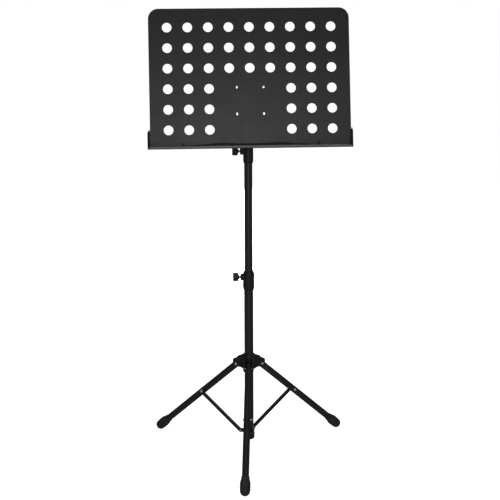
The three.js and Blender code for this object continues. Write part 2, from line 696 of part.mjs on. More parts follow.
function shelf() {
  const half = SHELF_WIDTH / 2;
  const backInner = PANEL_THICKNESS + GAP;
  const backOuter = backInner + SHELF_SHEET;
  const sheetDown = SHELF_SHEET / Math.cos(SHELF_DROP);
  const front = -SHELF_DEPTH;
  const lipInner = front + SHELF_SHEET;
  const channel = plateYZ(outline([
    [backOuter, SHELF_BACK_TOP],
    [backInner, SHELF_BACK_TOP],
    [backInner, shelfTop(backInner)],
    [lipInner, shelfTop(lipInner)],
    [lipInner, shelfTop(front) + SHELF_LIP],
    [front, shelfTop(front) + SHELF_LIP],
    [front, shelfTop(front) - sheetDown],
    [backOuter, shelfTop(backOuter) - sheetDown],
  ]), -half, half);
  const flangeSide = new THREE.Shape();
  const slope = Math.atan2(END_FLANGE_BACK - END_FLANGE_FRONT, SHELF_DEPTH);
  const cornerY = front + END_FLANGE_CORNER;
  const cornerZ = END_FLANGE_FRONT - END_FLANGE_CORNER_DROP;
  flangeSide.moveTo(front, shelfTop(front) - sheetDown);
  flangeSide.lineTo(backOuter, shelfTop(backOuter) - sheetDown);
  flangeSide.lineTo(backOuter, END_FLANGE_BACK);
  flangeSide.absarc(cornerY, cornerZ, END_FLANGE_CORNER, Math.PI / 2 - slope, Math.PI, false);
  const ends = [[-half, -half + SHELF_SHEET], [half - SHELF_SHEET, half]];
  const flanges = ends.map(([from, to]) => plateYZ(flangeSide, from, to, SMALL_CURVE_STEPS));
  const holeRadius = STRUT_PIN_RADIUS + GAP;
  const holes = SHELF_RIVETS.map(([x, z]) => {
    const hole = alongY(rod(holeRadius, backInner - PAST, backOuter + PAST, SHEET_HOLE_SIDES));
    return hole.translate(x, 0, z);
  });
  const lean = new THREE.Matrix4().makeShear(0, 0, SHELF_SKEW, 0, 0, 0);
  const channelWithEnds = built({ join: [channel, ...flanges] }).applyMatrix4(lean);
  return piece('shelf', onPanel(built({ join: [channelWithEnds], cut: holes })), 'panelPaint');
}

/** The plate behind the panel and its two ears, the ears set about the mast's axis. */
function deskBracket() {
  const back = PANEL_THICKNESS + GAP;
  const half = BRACKET_SIDE / 2;
  const plateShape = outline([
    [-half, -half - PIVOT_BELOW_GRID],
    [half, -half - PIVOT_BELOW_GRID],
    [half, half - PIVOT_BELOW_GRID],
    [-half, half - PIVOT_BELOW_GRID],
  ]);
  BRACKET_RIVETS.forEach(([x, z]) => {
    plateShape.holes.push(roundHole(x, z, STRUT_PIN_RADIUS + GAP, SHEET_HOLE_SIDES));
  });
  const plate = onPanel(plateXZ(plateShape, back, back + BRACKET_SHEET));
  const earRoot = -PIVOT_TO_PANEL + back + BRACKET_SHEET / 2;
  const ear = new THREE.Shape();
  ear.moveTo(earRoot, -EAR_BASE_HALF);
  ear.absarc(0, 0, EAR_END_RADIUS, -EAR_WRAP, EAR_WRAP, false);
  ear.lineTo(earRoot, EAR_BASE_HALF);
  ear.holes.push(roundHole(0, 0, TILT_BOLT_RADIUS + PIN_CLEARANCE, SMALL_ROUND));
  const ears = [[-EAR_INNER - EAR_SHEET, -EAR_INNER], [EAR_INNER, EAR_INNER + EAR_SHEET]]
    .map(([from, to]) => plateYZ(ear, from, to));
  return piece('desk_bracket', built({ join: [plate, ...ears] }), 'tubePaint');
}

function sheetRivets(prefix, places, gripped, finish) {
  return places.map(([x, z], index) => {
    const shank = doubleRivet(STRUT_PIN_RADIUS, -gripped - GAP, GAP);
    const forwards = shank.rotateX(Math.PI / 2).translate(x, 0, z);
    return piece(`${prefix}_${index + 1}`, onPanel(forwards), finish);
  });
}

function tiltHead() {
  const tongueShape = new THREE.Shape();
  tongueShape.moveTo(-HEAD_RADIUS, -HEAD_BORE_END + TONGUE_START);
  tongueShape.lineTo(HEAD_RADIUS, -HEAD_BORE_END + TONGUE_START);
  tongueShape.absarc(0, 0, HEAD_RADIUS, 0, Math.PI, false);
  const tongue = plateYZ(tongueShape, -HEAD_HALF_WIDTH, HEAD_HALF_WIDTH);
  const socket = rod(HEAD_SOCKET_RADIUS, -HEAD_SOCKET_LENGTH, -HEAD_BORE_END + SOCKET_END);
  const bore = rod(TOP_TUBE.radius + GAP, -HEAD_SOCKET_LENGTH - PAST, -HEAD_BORE_END);
  const reach = HEAD_HALF_WIDTH + PAST;
  const boltHole = alongX(rod(TILT_BOLT_RADIUS + PIN_CLEARANCE, -reach, reach, SMALL_ROUND));
  return piece('tilt_head', built({ join: [tongue, socket], cut: [bore, boltHole] }), 'plastic');
}

function tiltBolt() {
  const headFace = EAR_INNER + EAR_SHEET + GAP;
  const shankEnd = -(headFace + KNOB_BORE_DEPTH - GAP);
  const shank = alongX(rod(TILT_BOLT_RADIUS, shankEnd, headFace + PAST, SMALL_ROUND));
  const head = alongX(rod(NUT_CORNER_RADIUS, headFace, headFace + TILT_BOLT_HEAD, HEX));
  return piece('tilt_bolt', built({ join: [shank, head] }), 'zinc');
}

function frictionWasher(side, sign) {
  const middle = (sign * (HEAD_HALF_WIDTH + EAR_INNER)) / 2;
  const half = FRICTION_WASHER.thickness / 2;
  const hole = TILT_BOLT_RADIUS + PIN_CLEARANCE;
  const washer = tube(hole, FRICTION_WASHER.radius, middle - half, middle + half);
  return piece(`friction_washer_${side}`, alongX(washer), 'plastic');
}

function desk() {
  const back = PANEL_THICKNESS + GAP;
  const tilted = new THREE.Group();
  tilted.rotation.x = -DESK_TILT;
  tilted.add(
    deskPanel(),
    shelf(),
    deskBracket(),
    ...sheetRivets('bracket_rivet', BRACKET_RIVETS, back + BRACKET_SHEET, 'zinc'),
    ...sheetRivets('shelf_rivet', SHELF_RIVETS, back + SHELF_SHEET, 'panelPaint'),
    tiltBolt(),
    frictionWasher('left', -1),
    frictionWasher('right', 1),
  );
  const tiltKnob = new THREE.Group();
  tiltKnob.rotation.z = Math.PI;
  tiltKnob.add(knob('tilt_knob', EAR_INNER + EAR_SHEET + GAP));
  const turnedDesk = new THREE.Group();
  turnedDesk.rotation.z = DESK_TURN;
  turnedDesk.position.z = PIVOT_HEIGHT;
  turnedDesk.add(tiltHead(), tilted, tiltKnob);
  return turnedDesk;
}

// ---------------------------------------------------------------- the whole stand

const stand = new THREE.Group();
stand.add(mast(), tripod(), desk());
stand.updateMatrixWorld(true);
const extent = new THREE.Box3().setFromObject(stand, true);
const centre = extent.getCenter(new THREE.Vector3());
stand.position.set(-centre.x, -centre.y, -extent.min.z);

export default stand;
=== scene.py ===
"""The looks of a music stand: a perforated steel desk on a telescopic mast with a folding tripod.

Shapes are drawn in millimetres in local frames (mast, leg, strut, desk) and scaled to metres when
they are placed. The mast's axis is read from the frame.
"""

import math

import bmesh
import bpy
from mathutils import Matrix, Vector


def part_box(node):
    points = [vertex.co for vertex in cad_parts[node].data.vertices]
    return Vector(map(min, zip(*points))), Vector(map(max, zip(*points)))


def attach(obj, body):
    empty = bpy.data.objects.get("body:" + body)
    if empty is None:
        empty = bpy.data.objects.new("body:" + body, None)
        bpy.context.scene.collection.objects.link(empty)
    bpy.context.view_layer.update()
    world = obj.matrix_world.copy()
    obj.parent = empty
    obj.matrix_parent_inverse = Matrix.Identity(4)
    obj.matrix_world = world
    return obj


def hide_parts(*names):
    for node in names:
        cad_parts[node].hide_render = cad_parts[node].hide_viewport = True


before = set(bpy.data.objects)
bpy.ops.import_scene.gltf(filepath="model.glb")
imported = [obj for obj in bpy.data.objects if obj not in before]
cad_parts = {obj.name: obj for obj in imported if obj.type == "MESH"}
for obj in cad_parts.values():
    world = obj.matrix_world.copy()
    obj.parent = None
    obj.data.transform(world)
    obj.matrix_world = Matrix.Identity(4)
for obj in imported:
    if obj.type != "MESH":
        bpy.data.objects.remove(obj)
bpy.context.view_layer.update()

# ------------------------------------------------------------------ dimensions, millimetres

MM = 0.001
GAP = 0.3
PAST = 1.0  # how far a cutting shape runs out past the face it cuts

HOLE_PITCH = 50
HOLE_RADIUS = 11.9
HOLE_COLUMNS = 9
HOLE_ROWS = 6
PLAIN_FIELD = 3  # columns and rows without holes, in the middle of the lower half
PANEL_WIDTH = 490
PANEL_TOP = 171
PANEL_BOTTOM = -164
PANEL_CORNER = 25
PANEL_THICKNESS = 1.5
PANEL_EDGE = 0.3
PANEL_FOOT_CHAMFER = 3
HOLE_SIDES = 40
PANEL_RELIEF = 7.0  # how far the lower edge rises over each of its two low arches
PANEL_RELIEF_MIDDLE = 4.5
PANEL_RELIEF_PEAK = 70  # from the middle of the desk
PANEL_RELIEF_END = 190

SHELF_SHEET = 1.2
SHELF_WIDTH = 494.8
SHELF_DEPTH = 40
SHELF_CORNER_HEIGHT = -164.7
SHELF_DROP = math.radians(13)
SHELF_LIP = 1.8
SHELF_BACK_TOP = -147
SHELF_SKEW = 0.08
END_FLANGE_BACK = -122.5
END_FLANGE_FRONT = -133.5
END_FLANGE_CORNER = 10
END_FLANGE_CORNER_DROP = 7.5  # from the flange's front height down to its corner's middle
END_TAB = 9  # a tab of each end flange, bent in behind the panel
END_TAB_INSET = 0.2
END_TAB_BOTTOM = SHELF_BACK_TOP - 2
END_TAB_TOP = END_FLANGE_BACK - 4
SHADE_STRIP_PAST = 5  # the dark rubber strip, painted shade in the crease, runs out past the arches by this much
SHADE_STRIP_RISE = 3  # and stands above them by this much
SHADE_STRIP_CLEARANCE = 0.05
SHELF_RIVET_OFFSET = 165
SHELF_RIVET_HEIGHT = -159.5

BRACKET_SHEET = 2
BRACKET_SIDE = 84
BRACKET_CORNER = 6
BRACKET_RIVET_PITCH = 65.4
EAR_SHEET = 2.5
EAR_INNER = 12.2
EAR_BASE_HALF = 20
EAR_END_RADIUS = 11
EAR_WRAP = 75.6  # degrees; the round end reaches this far up and down

PIVOT_HEIGHT = 921.7
PIVOT_TO_PANEL = 35.3
PIVOT_BELOW_GRID = 55
PANEL_SIDE_OFFSET = 3.9
DESK_TILT = math.radians(16.4)
DESK_TURN = math.radians(2.5)

HEAD_HALF_WIDTH = 11
HEAD_RADIUS = 10.5
HEAD_SOCKET_RADIUS = 11.5
HEAD_SOCKET_LENGTH = 45
HEAD_BORE_END = 28
TONGUE_START = 4  # above the bore's end
SOCKET_END = 6  # above the bore's end
TILT_BOLT_HEAD = 4
WASHER_RADIUS = 8
WASHER_THICKNESS = 0.6

TUBE_WALL = 1.2
LOWER_TUBE = {"radius": 11.5, "bottom": 33, "top": 483}
MID_TUBE = {"radius": 10, "bottom": 350, "top": 809}
TOP_TUBE = {"radius": 8.5, "bottom": 600, "top": 893}
END_CAP_BOTTOM = 29.2
PLUG_LENGTH = 13
GUIDE_FLANGE = 4
GUIDE_BORE = 4

LOWER_COLLAR = {"radius": 14.2, "bottom": 440.3, "top": 489.1, "screw": 474.1}
UPPER_COLLAR = {"radius": 12.5, "bottom": 770.1, "top": 814.5, "screw": 800.5}
COLLAR_SKIRT = 1.1
COLLAR_CROWN = 1.8
COLLAR_TAPER = 6
COLLAR_GROOVE = {"below_taper": 2, "width": 1.2, "depth": 0.35}
BOSS_ROOT = 2  # where a boss starts, inside the tube's bore
BOSS_RADIUS = 8.6
BOSS_FACE = 20.4
BOSS_EDGE = 1.6

SCREW_RADIUS = 3
SCREW_HOLE_RADIUS = 3.4
THREAD_PITCH = 1.0
THREAD_DEPTH = 0.45
THREAD_STEPS = 6  # rings of points to each turn of the thread
THREAD_CHAMFER = 0.8
NUT_INNER = 13.5
NUT_THICKNESS = 5
NUT_CORNER_RADIUS = 5.77
NUT_POCKET_GAP = 0.4
HEX = 6
KNOB_NECK = 24
KNOB_CAP = 26.4
KNOB_FACE = 39.8
KNOB_RADIUS = 10.85
KNOB_FLUTES = 8
KNOB_FLUTE_DEPTH = 0.8
KNOB_FLUTED_FROM = 8.5  # the flutes cut only what is wider than this
KNOB_NECK_RADIUS = 4.4
KNOB_SHOULDER_RADIUS = 6.2
KNOB_DISH = {"rim": 6.6, "radius": 6.0, "depth": 0.7}
KNOB_BORE_DEPTH = 10

HUB_BOTTOM = 221.3
HUB_TOP = 267.8
HUB_RADIUS = 16.8
HUB_RIM_RADIUS = 12.6
HUB_TAPER = 8
HUB_SCREW_HEIGHT = 250
CHEEK_INNER = 9.4
CHEEK_THICKNESS = 3.5
CHEEK_ROOT = 8
CHEEK_TIP = 41.3

LEG_AZIMUTHS = {"front": -93, "right": 30, "left": 150}
LEG_PIVOT = {"radius": 33, "height": 236.3}
FOOT = {"radius": 278.2, "height": 11.6}
LEG_RADIUS = 8.6
LEG_PIN_RADIUS = 2.5
LEG_TOP = 11
LEG_TUBE_END = 5.5
BOOT_RADIUS = 12.4
BOOT_RIM_RADIUS = 9.8
BOOT_BEAD = 0.35
BOOT_BARREL_RADIUS = 13.0
BOOT_SLEEVE = 37
BOOT_SHOULDER = [(10.1, 5), (10.7, 7.5), (11.5, 10), (12.2, 12.5)]  # radius, from the rim
BOOT_WAIST = [(12.85, 31.5), (12.7, 34.5)]
BOOT_RIBS = {"count": 4, "start": 15, "pitch": 4, "width": 3, "slope": 0.8, "depth": 0.35}

STRUT_ON_LEG = 142.9
STRUT_FOOT = {"radius": 19.2, "height": 52.3}
STRUT_INNER = 11.2
STRUT_THICKNESS = 3
STRUT_HALF_WIDTH = 5
STRUT_WEB = 1.4
STRUT_EDGE = 0.9
STRUT_EDGE_MIDDLE = 0.28
SPREADER_BOTTOM = 31.5
SPREADER_TOP = 57.5
SPREADER_RADIUS = 13.9
LUG_INNER = 6.5
LUG_THICKNESS = 4.4
LUG_RADIUS = 4.5
LUG_ROOT = 3
PIN_RADIUS = 2

RIVET_HEAD = (3.6, 1.6)  # radius and height of a domed head
LEG_PIN_HEAD = (3.6, 1.6)
STRUT_PIN_HEAD = (3.2, 0.9)
HEAD_RIM = 0.22  # the part of a domed head's height that is an upright rim
RIVET_TAIL_CHAMFER = 0.2

LEG_DROP = math.atan2(LEG_PIVOT["height"] - FOOT["height"], FOOT["radius"] - LEG_PIVOT["radius"])
LEG_LENGTH = math.hypot(LEG_PIVOT["height"] - FOOT["height"], FOOT["radius"] - LEG_PIVOT["radius"])
STRUT_OUT = LEG_PIVOT["radius"] + STRUT_ON_LEG * math.cos(LEG_DROP) - STRUT_FOOT["radius"]
STRUT_UP = LEG_PIVOT["height"] - STRUT_ON_LEG * math.sin(LEG_DROP) - STRUT_FOOT["height"]
STRUT_RISE = math.atan2(STRUT_UP, STRUT_OUT)
STRUT_LENGTH = math.hypot(STRUT_UP, STRUT_OUT)

# ------------------------------------------------------------------ frames


def move(x, y, z):
    return Matrix.Translation((x * MM, y * MM, z * MM))


def turn(angle, axis):
    return Matrix.Rotation(angle, 4, axis)


low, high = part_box("lower_tube")
MAST = Matrix.Translation(((low.x + high.x) / 2, (low.y + high.y) / 2, 0))
DESK = MAST @ move(0, 0, PIVOT_HEIGHT) @ turn(DESK_TURN, "Z")
TILTED = DESK @ turn(-DESK_TILT, "X")
GRID = TILTED @ move(PANEL_SIDE_OFFSET, -PIVOT_TO_PANEL, PIVOT_BELOW_GRID)
ALONG_X = turn(math.pi / 2, "Y")
ALONG_Y = turn(-math.pi / 2, "X")


def station(azimuth, height=0):
    """A frame on the mast at a height, its +X pointing along an azimuth in degrees."""
    return MAST @ move(0, 0, height) @ turn(math.radians(azimuth), "Z")


def leg_frame(side):
    """A frame at a leg's pivot with +X along the leg."""
    pivot = move(LEG_PIVOT["radius"], 0, LEG_PIVOT["height"])
    return station(LEG_AZIMUTHS[side]) @ pivot @ turn(LEG_DROP, "Y")


def strut_frame(side):
    """A frame at a strut's lower pivot with +X along the strut."""
    pivot = move(STRUT_FOOT["radius"], 0, STRUT_FOOT["height"])
    return station(LEG_AZIMUTHS[side]) @ pivot @ turn(-STRUT_RISE, "Y")


# ------------------------------------------------------------------ mesh building


def rectangle(left, right, bottom, top):
    return [(left, bottom), (right, bottom), (right, top), (left, top)]


def around(across, up, radius, angles):
    """Points on a circle about a middle, one for each angle."""
    return [(across + radius * math.cos(a), up + radius * math.sin(a)) for a in angles]


def softened(points, closed=True, steps=4):
    """A polyline whose corners (x, y, cut) are rounded, each from that far before it."""
    result = []
    count = len(points)
    for index, point in enumerate(points):
        corner = Vector(point[:2])
        cut = point[2] if len(point) > 2 else 0
        inside = closed or 0 < index < count - 1
        if not cut or not inside:
            result.append(tuple(corner))
            continue
        before = Vector(points[index - 1][:2]) - corner
        after = Vector(points[(index + 1) % count][:2]) - corner
        start = corner + before.normalized() * min(cut, before.length / 2)
        end = corner + after.normalized() * min(cut, after.length / 2)
        for step in range(steps + 1):
            t = step / steps
            point_here = start * (1 - t) ** 2 + corner * 2 * t * (1 - t) + end * t**2
            result.append(tuple(point_here))
    return result


def lathe(profile, segments=48, flutes=0, flute_depth=0.0, flute_from=0.0):
    """A solid turned about Z from (radius, height) pairs; a ring if the profile meets itself."""
    mesh = bmesh.new()
    is_ring = profile[0] == profile[-1]
    points = profile[:-1] if is_ring else profile
    rings = []
    for radius, height in points:
        if radius < 1e-6:
            rings.append([mesh.verts.new((0, 0, height))])
            continue
        ring = []
        for index in range(segments):
            angle = 2 * math.pi * index / segments
            reach = radius
            if radius > flute_from:
                reach -= flute_depth * (0.5 - 0.5 * math.cos(angle * flutes))
            ring.append(mesh.verts.new((reach * math.cos(angle), reach * math.sin(angle), height)))
        rings.append(ring)
    following = rings[1:] + (rings[:1] if is_ring else [])
    for lower, upper in zip(rings, following):
        for index in range(segments):
            after = (index + 1) % segments
            corners = [
                lower[index % len(lower)],
                lower[after % len(lower)],
                upper[after % len(upper)],
                upper[index % len(upper)],
            ]
            distinct = list(dict.fromkeys(corners))
            if len(distinct) > 2:
                mesh.faces.new(distinct)
    return mesh


def rod(radius, low_end, high_end, segments=32):
    return lathe([(0, low_end), (radius, low_end), (radius, high_end), (0, high_end)], segments)


def plate(outline, near, far, place, edge=0.4):
    """A plate between two levels; place turns (across, up, level) into a point."""
    mesh = bmesh.new()
    rings = [[mesh.verts.new(place(a, b, level)) for a, b in outline] for level in (near, far)]
    mesh.faces.new(rings[0])
    mesh.faces.new(rings[1])
    for index in range(len(outline)):
        after = (index + 1) % len(outline)
        mesh.faces.new((rings[0][index], rings[0][after], rings[1][after], rings[1][index]))
    bmesh.ops.recalc_face_normals(mesh, faces=mesh.faces)
    return rounded(mesh, edge) if edge else mesh


def plate_xz(outline, near, far, edge=0.4):
    return plate(outline, near, far, lambda a, b, level: (a, level, b), edge)


def plate_yz(outline, near, far, edge=0.4):
    return plate(outline, near, far, lambda a, b, level: (level, a, b), edge)


def rounded(mesh, width, angle=40, segments=2):
    """Rounds the edges that are sharper than an angle."""
    limit = math.radians(angle)
    sharp = [e for e in mesh.edges if e.is_manifold and e.calc_face_angle(0) > limit]
    bmesh.ops.bevel(
        mesh,
        geom=sharp,
        offset=width,
        segments=segments,
        profile=0.5,
        affect="EDGES",
        clamp_overlap=True,
    )
    return mesh


def moved(mesh, matrix):
    """A mesh drawn in millimetres, placed by a matrix whose shifts are in metres."""
    scaled = matrix.copy()
    scaled.translation = matrix.translation / MM
    mesh.transform(scaled)
    return mesh


def fused(joined, cut=()):
    """One solid from closed meshes joined together, with others cut out of it."""
    objects = []
    for index, part in enumerate([*joined, *cut]):
        data = bpy.data.meshes.new(f"part_{index}")
        bmesh.ops.recalc_face_normals(part, faces=part.faces)
        part.to_mesh(data)
        part.free()
        objects.append(bpy.data.objects.new(f"part_{index}", data))
        bpy.context.scene.collection.objects.link(objects[-1])
    base = objects[0]
    for index, tool in enumerate(objects[1:], start=1):
        modifier = base.modifiers.new(f"step_{index}", "BOOLEAN")
        modifier.operation = "UNION" if index < len(joined) else "DIFFERENCE"
        modifier.solver = "EXACT"
        modifier.object = tool
    evaluated = base.evaluated_get(bpy.context.evaluated_depsgraph_get())
    result = bmesh.new()
    result.from_mesh(evaluated.to_mesh())
    evaluated.to_mesh_clear()
    for temporary in objects:
        data = temporary.data
        bpy.data.objects.remove(temporary)
        bpy.data.meshes.remove(data)
    bmesh.ops.remove_doubles(result, verts=result.verts, dist=1e-3)
    bmesh.ops.dissolve_degenerate(result, edges=result.edges, dist=1e-3)
    return result


def piece(node, mesh, place, material, body, crease=50, replaces=True):
    """Puts a fine mesh in place of a CAD node, on its body and with its material."""
    bmesh.ops.recalc_face_normals(mesh, faces=mesh.faces)
    mesh.transform(place @ Matrix.Scale(MM, 4))
    data = bpy.data.meshes.new(f"{node}_fine")
    mesh.to_mesh(data)
    mesh.free()
    data.polygons.foreach_set("use_smooth", [True] * len(data.polygons))
    data.set_sharp_from_angle(angle=math.radians(crease))
    data.materials.append(MATERIALS[material])
    made = bpy.data.objects.new(f"{node}_fine", data)
    bpy.context.scene.collection.objects.link(made)
    normals = made.modifiers.new("flat_faces_stay_flat", "WEIGHTED_NORMAL")
    normals.keep_sharp = True
    normals.weight = 100
    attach(made, body)
    if replaces:
        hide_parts(node)
    return made


# ------------------------------------------------------------------ materials


class Nodes:
    """A short way to write a procedural material."""

    def __init__(self, name):
        self.material = bpy.data.materials.new(name)
        self.material.use_nodes = True
        self.tree = self.material.node_tree
        self.shader = self.tree.nodes["Principled BSDF"]
        coordinates = self.tree.nodes.new("ShaderNodeTexCoord")
        self.position = coordinates.outputs["Object"]
        self.facing = coordinates.outputs["Normal"]

    def link(self, source, target):
        self.tree.links.new(source, target)

    def noise(self, scale, detail=3.0, roughness=0.5, stretch=(1, 1, 1), distortion=0.0):
        mapping = self.tree.nodes.new("ShaderNodeMapping")
        mapping.inputs["Scale"].default_value = stretch
        self.link(self.position, mapping.inputs["Vector"])
        texture = self.tree.nodes.new("ShaderNodeTexNoise")
        texture.inputs["Scale"].default_value = scale
        texture.inputs["Detail"].default_value = detail
        texture.inputs["Roughness"].default_value = roughness
        texture.inputs["Distortion"].default_value = distortion
        self.link(mapping.outputs["Vector"], texture.inputs["Vector"])
        return texture.outputs["Fac"]

    def cells(self, scale):
        texture = self.tree.nodes.new("ShaderNodeTexVoronoi")
        texture.inputs["Scale"].default_value = scale
        self.link(self.position, texture.inputs["Vector"])
        return texture.outputs["Distance"]

    def edges(self):
        return self.tree.nodes.new("ShaderNodeNewGeometry").outputs["Pointiness"]

    def upward(self):
        """One on faces that look up as the stand is set up, nought on upright ones."""
        split = self.tree.nodes.new("ShaderNodeSeparateXYZ")
        self.link(self.facing, split.inputs[0])
        return self.spread(split.outputs["Z"], 0.82, 0.97)

    def spread(self, value, from_low, from_high, to_low=0.0, to_high=1.0):
        node = self.tree.nodes.new("ShaderNodeMapRange")
        node.clamp = True
        for index, number in enumerate((from_low, from_high, to_low, to_high), start=1):
            node.inputs[index].default_value = number
        self.link(value, node.inputs[0])
        return node.outputs[0]

    def maths(self, operation, first, second):
        node = self.tree.nodes.new("ShaderNodeMath")
        node.operation = operation
        for index, value in enumerate((first, second)):
            if isinstance(value, (int, float)):
                node.inputs[index].default_value = value
            else:
                self.link(value, node.inputs[index])
        return node.outputs[0]

    def colours(self, amount, first, second):
        node = self.tree.nodes.new("ShaderNodeMix")
        node.data_type = "RGBA"
        for name, value in (("A", first), ("B", second)):
            socket = [s for s in node.inputs if s.name == name and s.type == "RGBA"][0]
            if isinstance(value, tuple):
                socket.default_value = (*value, 1)
            else:
                self.link(value, socket)
        factor = [s for s in node.inputs if s.name == "Factor" and s.type == "VALUE"][0]
        self.link(amount, factor)
        return [s for s in node.outputs if s.type == "RGBA"][0]

    def bump(self, height, strength, distance):
        node = self.tree.nodes.new("ShaderNodeBump")
        node.inputs["Strength"].default_value = strength
        node.inputs["Distance"].default_value = distance
        self.link(height, node.inputs["Height"])
        self.link(node.outputs["Normal"], self.shader.inputs["Normal"])

    def set(self, **values):
        for name, value in values.items():
            socket = self.shader.inputs[name.replace("_", " ")]
            if isinstance(value, (int, float)):
                socket.default_value = value
            else:
                self.link(value, socket)


def paint(name, dark, light, gloss, orange_peel, specular, dust, streaks=(1, 1, 1)):
    """Baked paint: orange peel, cloudy gloss, handling marks and worn edges; faces that look up
    take a lighter colour, settled dust together with painted light from above.
    """
    nodes = Nodes(name)
    clouds = nodes.noise(9, 4, 0.55, streaks)
    colour = nodes.colours(nodes.spread(clouds, 0.35, 0.65), dark, light)
    specks = nodes.spread(nodes.noise(1900, 2, 0.5), 0.68, 0.76)
    dusted = nodes.colours(nodes.maths("MULTIPLY", specks, 0.5), colour, (0.16, 0.16, 0.16))
    rubs = nodes.spread(nodes.noise(75, 6, 0.7, distortion=0.6), 0.56, 0.7)
    edge = nodes.spread(nodes.edges(), 0.53, 0.6)
    wear = nodes.maths("MULTIPLY", edge, rubs)
    worn = nodes.colours(nodes.maths("MULTIPLY", wear, 0.55), dusted, (0.3, 0.3, 0.31))
    # Painted light: faces that look up are lightened towards the dust colour, standing in for
    # light falling from above as well as for settled dust.
    lit_tops_and_dust = nodes.maths("MULTIPLY", nodes.upward(), nodes.spread(clouds, 0.2, 0.8, 0.8, 1.0))
    lit_tops_and_dust_on = nodes.colours(lit_tops_and_dust, worn, dust)
    smears = nodes.noise(26, 5, 0.65, streaks, distortion=0.9)
    nodes.set(
        Base_Color=lit_tops_and_dust_on,
        Roughness=nodes.spread(smears, 0.3, 0.7, *gloss),
        Specular_IOR_Level=specular,
    )
    nodes.bump(nodes.noise(orange_peel, 3, 0.6), 0.35, 0.00012)
    return nodes.material


def moulded(name, dark, light, gloss, grain, specular=0.4):
    """Moulded plastic: a fine spark-eroded grain with flow marks and scuffed edges."""
    nodes = Nodes(name)
    flow = nodes.noise(30, 4, 0.6, (1, 1, 0.35), distortion=0.5)
    colour = nodes.colours(nodes.spread(flow, 0.35, 0.65), dark, light)
    scuffs = nodes.spread(nodes.noise(240, 5, 0.7), 0.55, 0.7)
    wear = nodes.maths("MULTIPLY", nodes.spread(nodes.edges(), 0.53, 0.62), scuffs)
    scuffed = nodes.colours(nodes.maths("MULTIPLY", wear, 0.5), colour, (0.13, 0.13, 0.13))
    nodes.set(
        Base_Color=scuffed,
        Roughness=nodes.spread(nodes.noise(90, 4, 0.6), 0.3, 0.7, *gloss),
        Specular_IOR_Level=specular,
    )
    nodes.bump(nodes.cells(grain), 0.25, 0.00008)
    return nodes.material


def rubber():
    """Rubber: matt, with pale dust in its pores and rubbed patches."""
    nodes = Nodes("rubber")
    clouds = nodes.spread(nodes.noise(60, 5, 0.65), 0.35, 0.7)
    colour = nodes.colours(clouds, (0.012, 0.012, 0.012), (0.026, 0.025, 0.024))
    dust = nodes.spread(nodes.noise(520, 4, 0.7), 0.56, 0.75)
    dusty = nodes.colours(nodes.maths("MULTIPLY", dust, 0.35), colour, (0.11, 0.1, 0.09))
    nodes.set(
        Base_Color=dusty,
        Roughness=nodes.spread(clouds, 0, 1, 0.62, 0.8),
        Specular_IOR_Level=0.35,
    )
    nodes.bump(nodes.noise(1300, 4, 0.7), 0.4, 0.00015)
    return nodes.material


def zinc():
    """Bright zinc plate: a faint blue passivation, brushed marks and dull spots."""
    nodes = Nodes("zinc")
    tint = nodes.spread(nodes.noise(160, 3, 0.5), 0.35, 0.65)
    colour = nodes.colours(tint, (0.72, 0.73, 0.76), (0.8, 0.79, 0.75))
    spots = nodes.spread(nodes.noise(700, 4, 0.7), 0.6, 0.72)
    dulled = nodes.colours(nodes.maths("MULTIPLY", spots, 0.5), colour, (0.42, 0.42, 0.43))
    nodes.set(
        Base_Color=dulled,
        Metallic=1.0,
        Roughness=nodes.spread(nodes.noise(420, 4, 0.6), 0.3, 0.7, 0.34, 0.5),
    )
    nodes.bump(nodes.noise(2600, 2, 0.5, (1, 1, 6)), 0.2, 0.00003)
    return nodes.material


MATERIALS = {
    "panel_paint": paint(
        "panel_paint",
        dark=(0.013, 0.0132, 0.0145),
        light=(0.0155, 0.0155, 0.0165),
        gloss=(0.33, 0.39),
        orange_peel=900,
        specular=0.23,
        # painted highlight: faces that look up, the shelf's top above all, turn this pale colour
        # in place of light from above; it is far paler than dust
        dust=(0.21, 0.21, 0.215),
    ),
    "tube_paint": paint(
        "tube_paint",
        dark=(0.015, 0.015, 0.016),
        light=(0.019, 0.019, 0.02),
        gloss=(0.34, 0.42),
        orange_peel=1100,
        specular=0.32,
        # faces that look up turn this colour, settled dust together with painted light from above
        dust=(0.03, 0.03, 0.03),
        streaks=(1, 1, 0.2),
    ),
    "plastic": moulded(
        "plastic", (0.011, 0.011, 0.0115), (0.016, 0.016, 0.017), (0.42, 0.52), 2400, 0.22
    ),
    "knob_plastic": moulded(
        "knob_plastic", (0.008, 0.008, 0.009), (0.012, 0.012, 0.013), (0.38, 0.48), 2800, 0.25
    ),
    "rubber": rubber(),
    "zinc": zinc(),
}

# ------------------------------------------------------------------ fasteners


def dome(head, level, sign=1, steps=5):
    """A low domed head as (radius, height) pairs, from its rim to its top."""
    radius, height = head
    rim = height * HEAD_RIM
    points = [(radius, level), (radius, level + sign * rim)]
    for step in range(1, steps + 1):
        angle = math.pi / 2 * step / steps
        rise = rim + (height - rim) * math.sin(angle)
        points.append((radius * math.cos(angle), level + sign * rise))
    points[-1] = (0, level + sign * height)
    return points


def double_rivet(shank, low_end, high_end, head=RIVET_HEAD):
    """A rivet or pin about Z with a domed head at both ends."""
    lower = dome(head, low_end, -1)[::-1]
    return lathe([*lower, (shank, low_end), (shank, high_end), *dome(head, high_end)], 32)


def single_rivet(shank, low_end, high_end):
    """A rivet about Z with one domed head, at its high end."""
    tail = [
        (0, low_end),
        (shank - RIVET_TAIL_CHAMFER, low_end),
        (shank, low_end + RIVET_TAIL_CHAMFER),
        (shank, high_end),
    ]
    return lathe([*tail, *dome(RIVET_HEAD, high_end)], 32)


